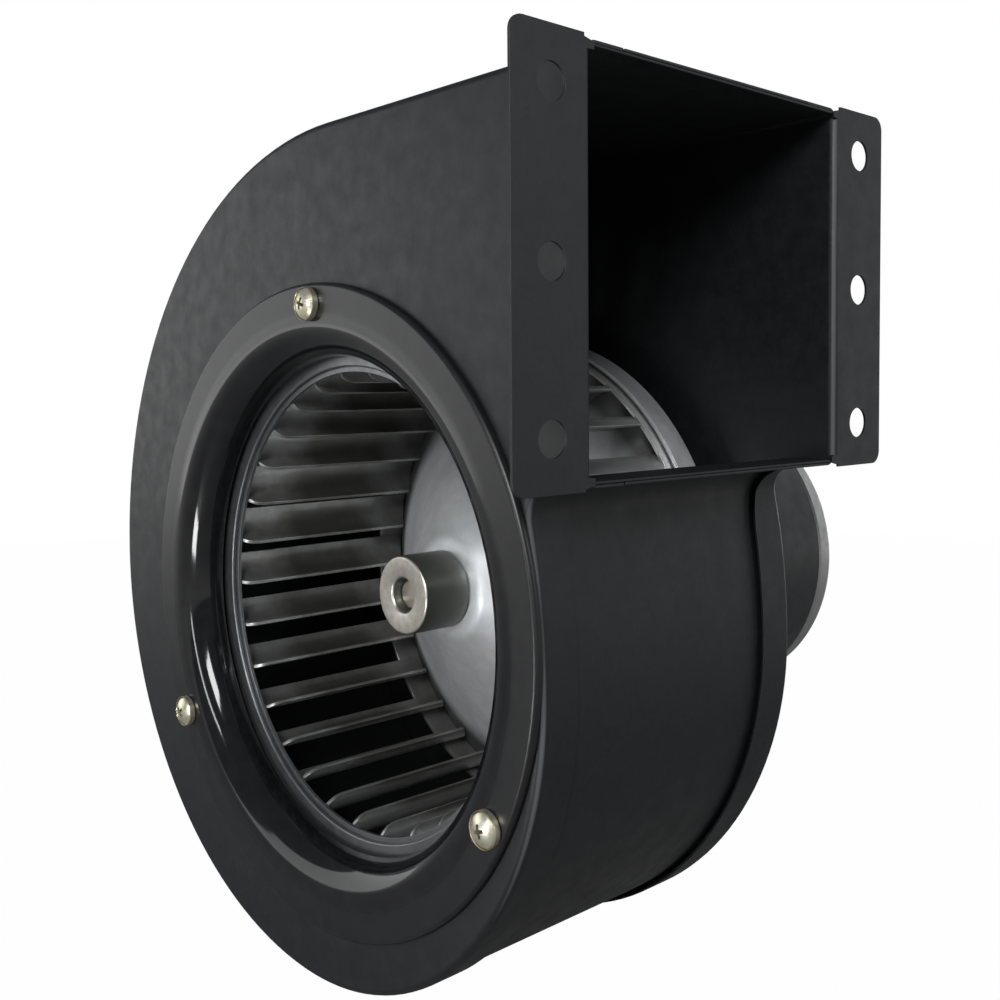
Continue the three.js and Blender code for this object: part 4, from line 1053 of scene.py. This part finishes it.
def hub_steel():
    """Bright turned front face, darkened round the side."""
    made = Finish("hub_steel", (0.64, 0.61, 0.54), 0.34, 0.9)
    geometry = made.node("ShaderNodeNewGeometry")
    parts = made.node("ShaderNodeSeparateXYZ")
    made.link(geometry.outputs["Normal"], parts.inputs["Vector"])
    side = made.span(parts.outputs["Y"], 0, 1, -0.75, -0.35)
    made.vary_colour(made.noise(2.0, 4.0), (0.42, 0.40, 0.36), 0.8)
    made.vary_colour(side, (0.26, 0.275, 0.25), 1.0)
    made.vary_roughness(made.noise(1.0, 4.0), 0.28, 0.42)
    made.bump(made.noise(0.3, 3.0), 0.01, 0.6)
    return made.material


def plain_metal(name, colour, roughness, grain=0.6):
    made = Finish(name, colour, roughness, 1.0)
    made.vary_colour(made.noise(3.0, 5.0), [0.6 * c for c in colour], 0.7)
    made.vary_roughness(made.noise(1.2, 4.0), roughness - 0.08, roughness + 0.1)
    made.bump(made.noise(grain, 3.0), 0.02, 0.5)
    return made.material


def cast_aluminium():
    made = Finish("cast_aluminium", (0.5, 0.5, 0.49), 0.42, 0.9)
    made.vary_colour(made.noise(8.0, 5.0), (0.38, 0.38, 0.37), 0.8)
    made.vary_roughness(made.noise(2.0, 5.0), 0.34, 0.52)
    made.bump(made.noise(0.8, 4.0), 0.03, 0.5)
    return made.material


def winding_copper():
    made = Finish("winding_copper", (0.62, 0.24, 0.09), 0.3, 1.0)
    made.vary_colour(made.noise(0.9, 3.0, (1, 8, 1)), (0.35, 0.12, 0.04))
    made.bump(made.noise(0.8, 1.0, (8, 1, 1)), 0.2, 0.8)
    return made.material


def lamination_steel():
    """Stacked sheets show as fine lines across the shaft."""
    made = Finish("lamination_steel", (0.32, 0.32, 0.33), 0.45, 0.9)
    made.vary_colour(made.noise(0.5, 1.0, (60, 1, 60)), (0.16, 0.16, 0.165))
    made.bump(made.noise(0.5, 1.0, (60, 1, 60)), 0.08, 0.8)
    return made.material


def plastic(name, colour, roughness):
    made = Finish(name, colour, roughness)
    made.vary_colour(made.noise(4.0, 4.0), [min(1, 1.5 * c) for c in colour], 0.6)
    made.vary_roughness(made.noise(1.5, 3.0), roughness - 0.08, roughness + 0.1)
    made.bump(made.noise(0.5, 2.0), 0.02, 0.5)
    return made.material


def motor_paint():
    made = Finish("motor_paint", (0.012, 0.013, 0.014), 0.42)
    made.vary_colour(made.noise(6.0, 4.0), (0.018, 0.019, 0.021))
    made.vary_roughness(made.noise(4.0, 4.0), 0.34, 0.48)
    made.bump(made.noise(0.6, 2.0), 0.02, 0.5)
    return made.material


MOTOR_PAINT = motor_paint()
MATERIAL_OF_SLOT = {
    "housing_paint": powder_coat(),
    "ring_enamel": ring_enamel(),
    "motor_paint": MOTOR_PAINT,
    "bracket_paint": MOTOR_PAINT,
    "zinc_yellow": zinc_yellow(),
    "galvanised": galvanised(),
    "disc_steel": disc_steel(),
    "hub_steel": hub_steel(),
    "dark_steel": plain_metal("dark_steel", (0.1, 0.1, 0.105), 0.4),
    "bright_steel": plain_metal("bright_steel", (0.5, 0.45, 0.39), 0.42, 0.3),
    "lamination_steel": lamination_steel(),
    "cast_aluminium": cast_aluminium(),
    "winding_copper": winding_copper(),
    "black_rubber": plastic("black_rubber", (0.02, 0.02, 0.02), 0.7),
    "cable_jacket": plastic("cable_jacket", (0.025, 0.025, 0.026), 0.5),
    "brown_insulation": plastic("brown_insulation", (0.13, 0.045, 0.015), 0.42),
    "blue_insulation": plastic("blue_insulation", (0.02, 0.08, 0.32), 0.42),
    "green_insulation": plastic("green_insulation", (0.07, 0.26, 0.05), 0.42),
}
SLOT_OF_NODE = {s["node"]: s["material_slot"] for s in frame["record"]["subparts"]}


def material_for(node):
    return MATERIAL_OF_SLOT[SLOT_OF_NODE[node]]


# -- build the pieces


def build(node, piece):
    """Gives a piece its material and puts it in the place of a CAD node."""
    piece.data.materials.clear()
    piece.data.materials.append(material_for(node))
    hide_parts(node)
    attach(piece, frame["nodes"][node]["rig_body"])


build("front_shell", side_shell("fine_front_shell", 0.0, FRONT_RIM, FRONT_HOLE_RADIUS, False))
build("back_shell", side_shell("fine_back_shell", BACK_OUTSET, BACK_RIM, BOSS_HOLE_RADIUS, True))
build("scroll_wrap", scroll_wrap())
build("inlet_ring", inlet_ring())
for number, turn in ((1, 20), (2, 50), (3, 75)):
    node_name = f"inlet_ring_screw_{number}"
    build(node_name, pan_head_screw("fine_" + node_name, node_name, turn))
for number in range(1, 5):
    node_name = f"motor_mount_screw_{number}"
    build(node_name, pan_head_screw("fine_" + node_name, node_name, 25 * number))
    build(f"motor_tie_bolt_{number}", tie_bolt(number))
build("impeller_front_ring", wheel_front_ring())
build("impeller_blade_cage", blade_cage())
build("impeller_back_disc", back_disc())
build("impeller_hub", hub())
build("hub_set_screw", set_screw())
build("motor_shaft", shaft())
build("motor_front_bracket", motor_bracket())
build("motor_can", motor_can())
build("motor_rear_cover", motor_rear_cover())
build("cable_grommet", cable_grommet())
build("motor_cable", motor_cable())
for node_name in ("cable_core_live", "cable_core_neutral", "cable_core_earth"):
    build(node_name, cable_core(node_name))

for node_name, node_object in frame["nodes"].items():
    if node_object.hide_render:
        continue
    node_object.data.materials.clear()
    node_object.data.materials.append(material_for(node_name))

# -- floor, light and camera

FLOOR_GLOW = 0.5  # strength of the far floor as a light
FLOOR_HAZE = 0.99  # white mixed into the near floor for the camera


def floor_finish():
    """Pale, and plain white far from the object. It looks brighter to the camera than it lights."""
    made = Finish("floor", (0.33, 0.33, 0.33), 0.9)
    made.vary_colour(made.noise(60.0, 4.0), (0.30, 0.30, 0.30))
    made.surface.inputs["Specular IOR Level"].default_value = 0.1
    camera_ray = made.node("ShaderNodeLightPath").outputs["Is Camera Ray"]
    length = made.node("ShaderNodeVectorMath", operation="LENGTH")
    made.link(made.place, length.inputs[0])
    far = made.span(length.outputs["Value"], 0, 1, 0.25, 0.9)
    seen = made.node("ShaderNodeMath", operation="MULTIPLY")
    seen.inputs[1].default_value = FLOOR_HAZE
    made.link(camera_ray, seen.inputs[0])
    share = made.node("ShaderNodeMath", operation="MAXIMUM")
    made.link(far, share.inputs[0])
    made.link(seen.outputs[0], share.inputs[1])
    glow = made.node("ShaderNodeEmission")
    made.link(made.span(camera_ray, FLOOR_GLOW, 1, 0, 1), glow.inputs["Strength"])
    mix = made.node("ShaderNodeMixShader")
    made.link(share.outputs[0], mix.inputs["Fac"])
    made.link(made.surface.outputs["BSDF"], mix.inputs[1])
    made.link(glow.outputs["Emission"], mix.inputs[2])
    made.link(mix.outputs["Shader"], made.tree.nodes["Material Output"].inputs["Surface"])
    return made.material


def floor():
    low_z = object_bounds()[0].z - FLOOR_GAP * MM
    bpy.ops.mesh.primitive_plane_add(size=12, location=(ORIGIN.x, ORIGIN.y, low_z))
    plane = bpy.context.object
    plane.name = "floor"
    plane.data.materials.append(floor_finish())
    plane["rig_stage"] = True


def softbox(name, place, target, width, height, power):
    """An area light. Its sides are in metres and its power in watts."""
    data = bpy.data.lights.new(name, "AREA")
    data.shape = "RECTANGLE"
    data.size = width
    data.size_y = height
    data.energy = power
    light = bpy.data.objects.new(name, data)
    light.location = place
    light.rotation_euler = (target - place).to_track_quat("-Z", "Y").to_euler()
    bpy.context.scene.collection.objects.link(light)


def world():
    """White to the camera, dim grey to everything that reflects it."""
    made = bpy.data.worlds.new("studio")
    bpy.context.scene.world = made
    made.use_nodes = True
    tree = made.node_tree
    background = tree.nodes["Background"]
    path = tree.nodes.new("ShaderNodeLightPath")
    mix = tree.nodes.new("ShaderNodeMix")
    mix.data_type = "RGBA"
    mix.inputs["A"].default_value = (0.110, 0.119, 0.133, 1)
    mix.inputs["B"].default_value = (1.0, 1.0, 1.0, 1)
    tree.links.new(path.outputs["Is Camera Ray"], mix.inputs["Factor"])
    tree.links.new(mix.outputs["Result"], background.inputs["Color"])


def camera():
    """Close to the object, to the right of its inlet and a little above the shaft."""
    data = bpy.data.cameras.new("camera")
    data.sensor_width = 36.0
    data.lens = 42.97
    data.shift_x = -0.0979
    data.shift_y = -0.0681
    data.clip_start = 0.01
    eye = bpy.data.objects.new("camera", data)
    eye.location = at(242.5, -156.7, 54.9)
    eye.rotation_euler = (math.radians(90 - 2.655), math.radians(0.17), math.radians(43.89))
    bpy.context.scene.collection.objects.link(eye)
    bpy.context.scene.camera = eye


floor()
world()
camera()
softbox("left", at(-890, -490, 170), at(0, 0, 20), 0.9, 0.5, 1.95)
softbox("fill", at(620, -760, 520), at(0, 0, 20), 0.35, 0.35, 7.3)
softbox("right", at(900, 250, 300), at(0, 40, 20), 0.5, 0.6, 0.45)
softbox("back", at(500, 900, 350), at(0, 40, 20), 0.5, 0.9, 0.9)
softbox("edge", at(-200, 1000, 120), at(60, 0, 60), 0.5, 0.9, 4.0)
# The strips are there for the highlights that they leave in the bell of the inlet ring.
softbox("low_strip", at(20, -900, 190), at(-60, 0, -20), 0.07, 0.46, 1.3)
softbox("right_strip", at(780, 300, 330), at(-60, 0, -20), 0.05, 0.3, 0.6)
softbox("floor_strip", at(20, -190, -70), at(-60, 0, 20), 0.06, 0.035, 0.14)
bpy.context.scene.view_settings.view_transform = "Standard"
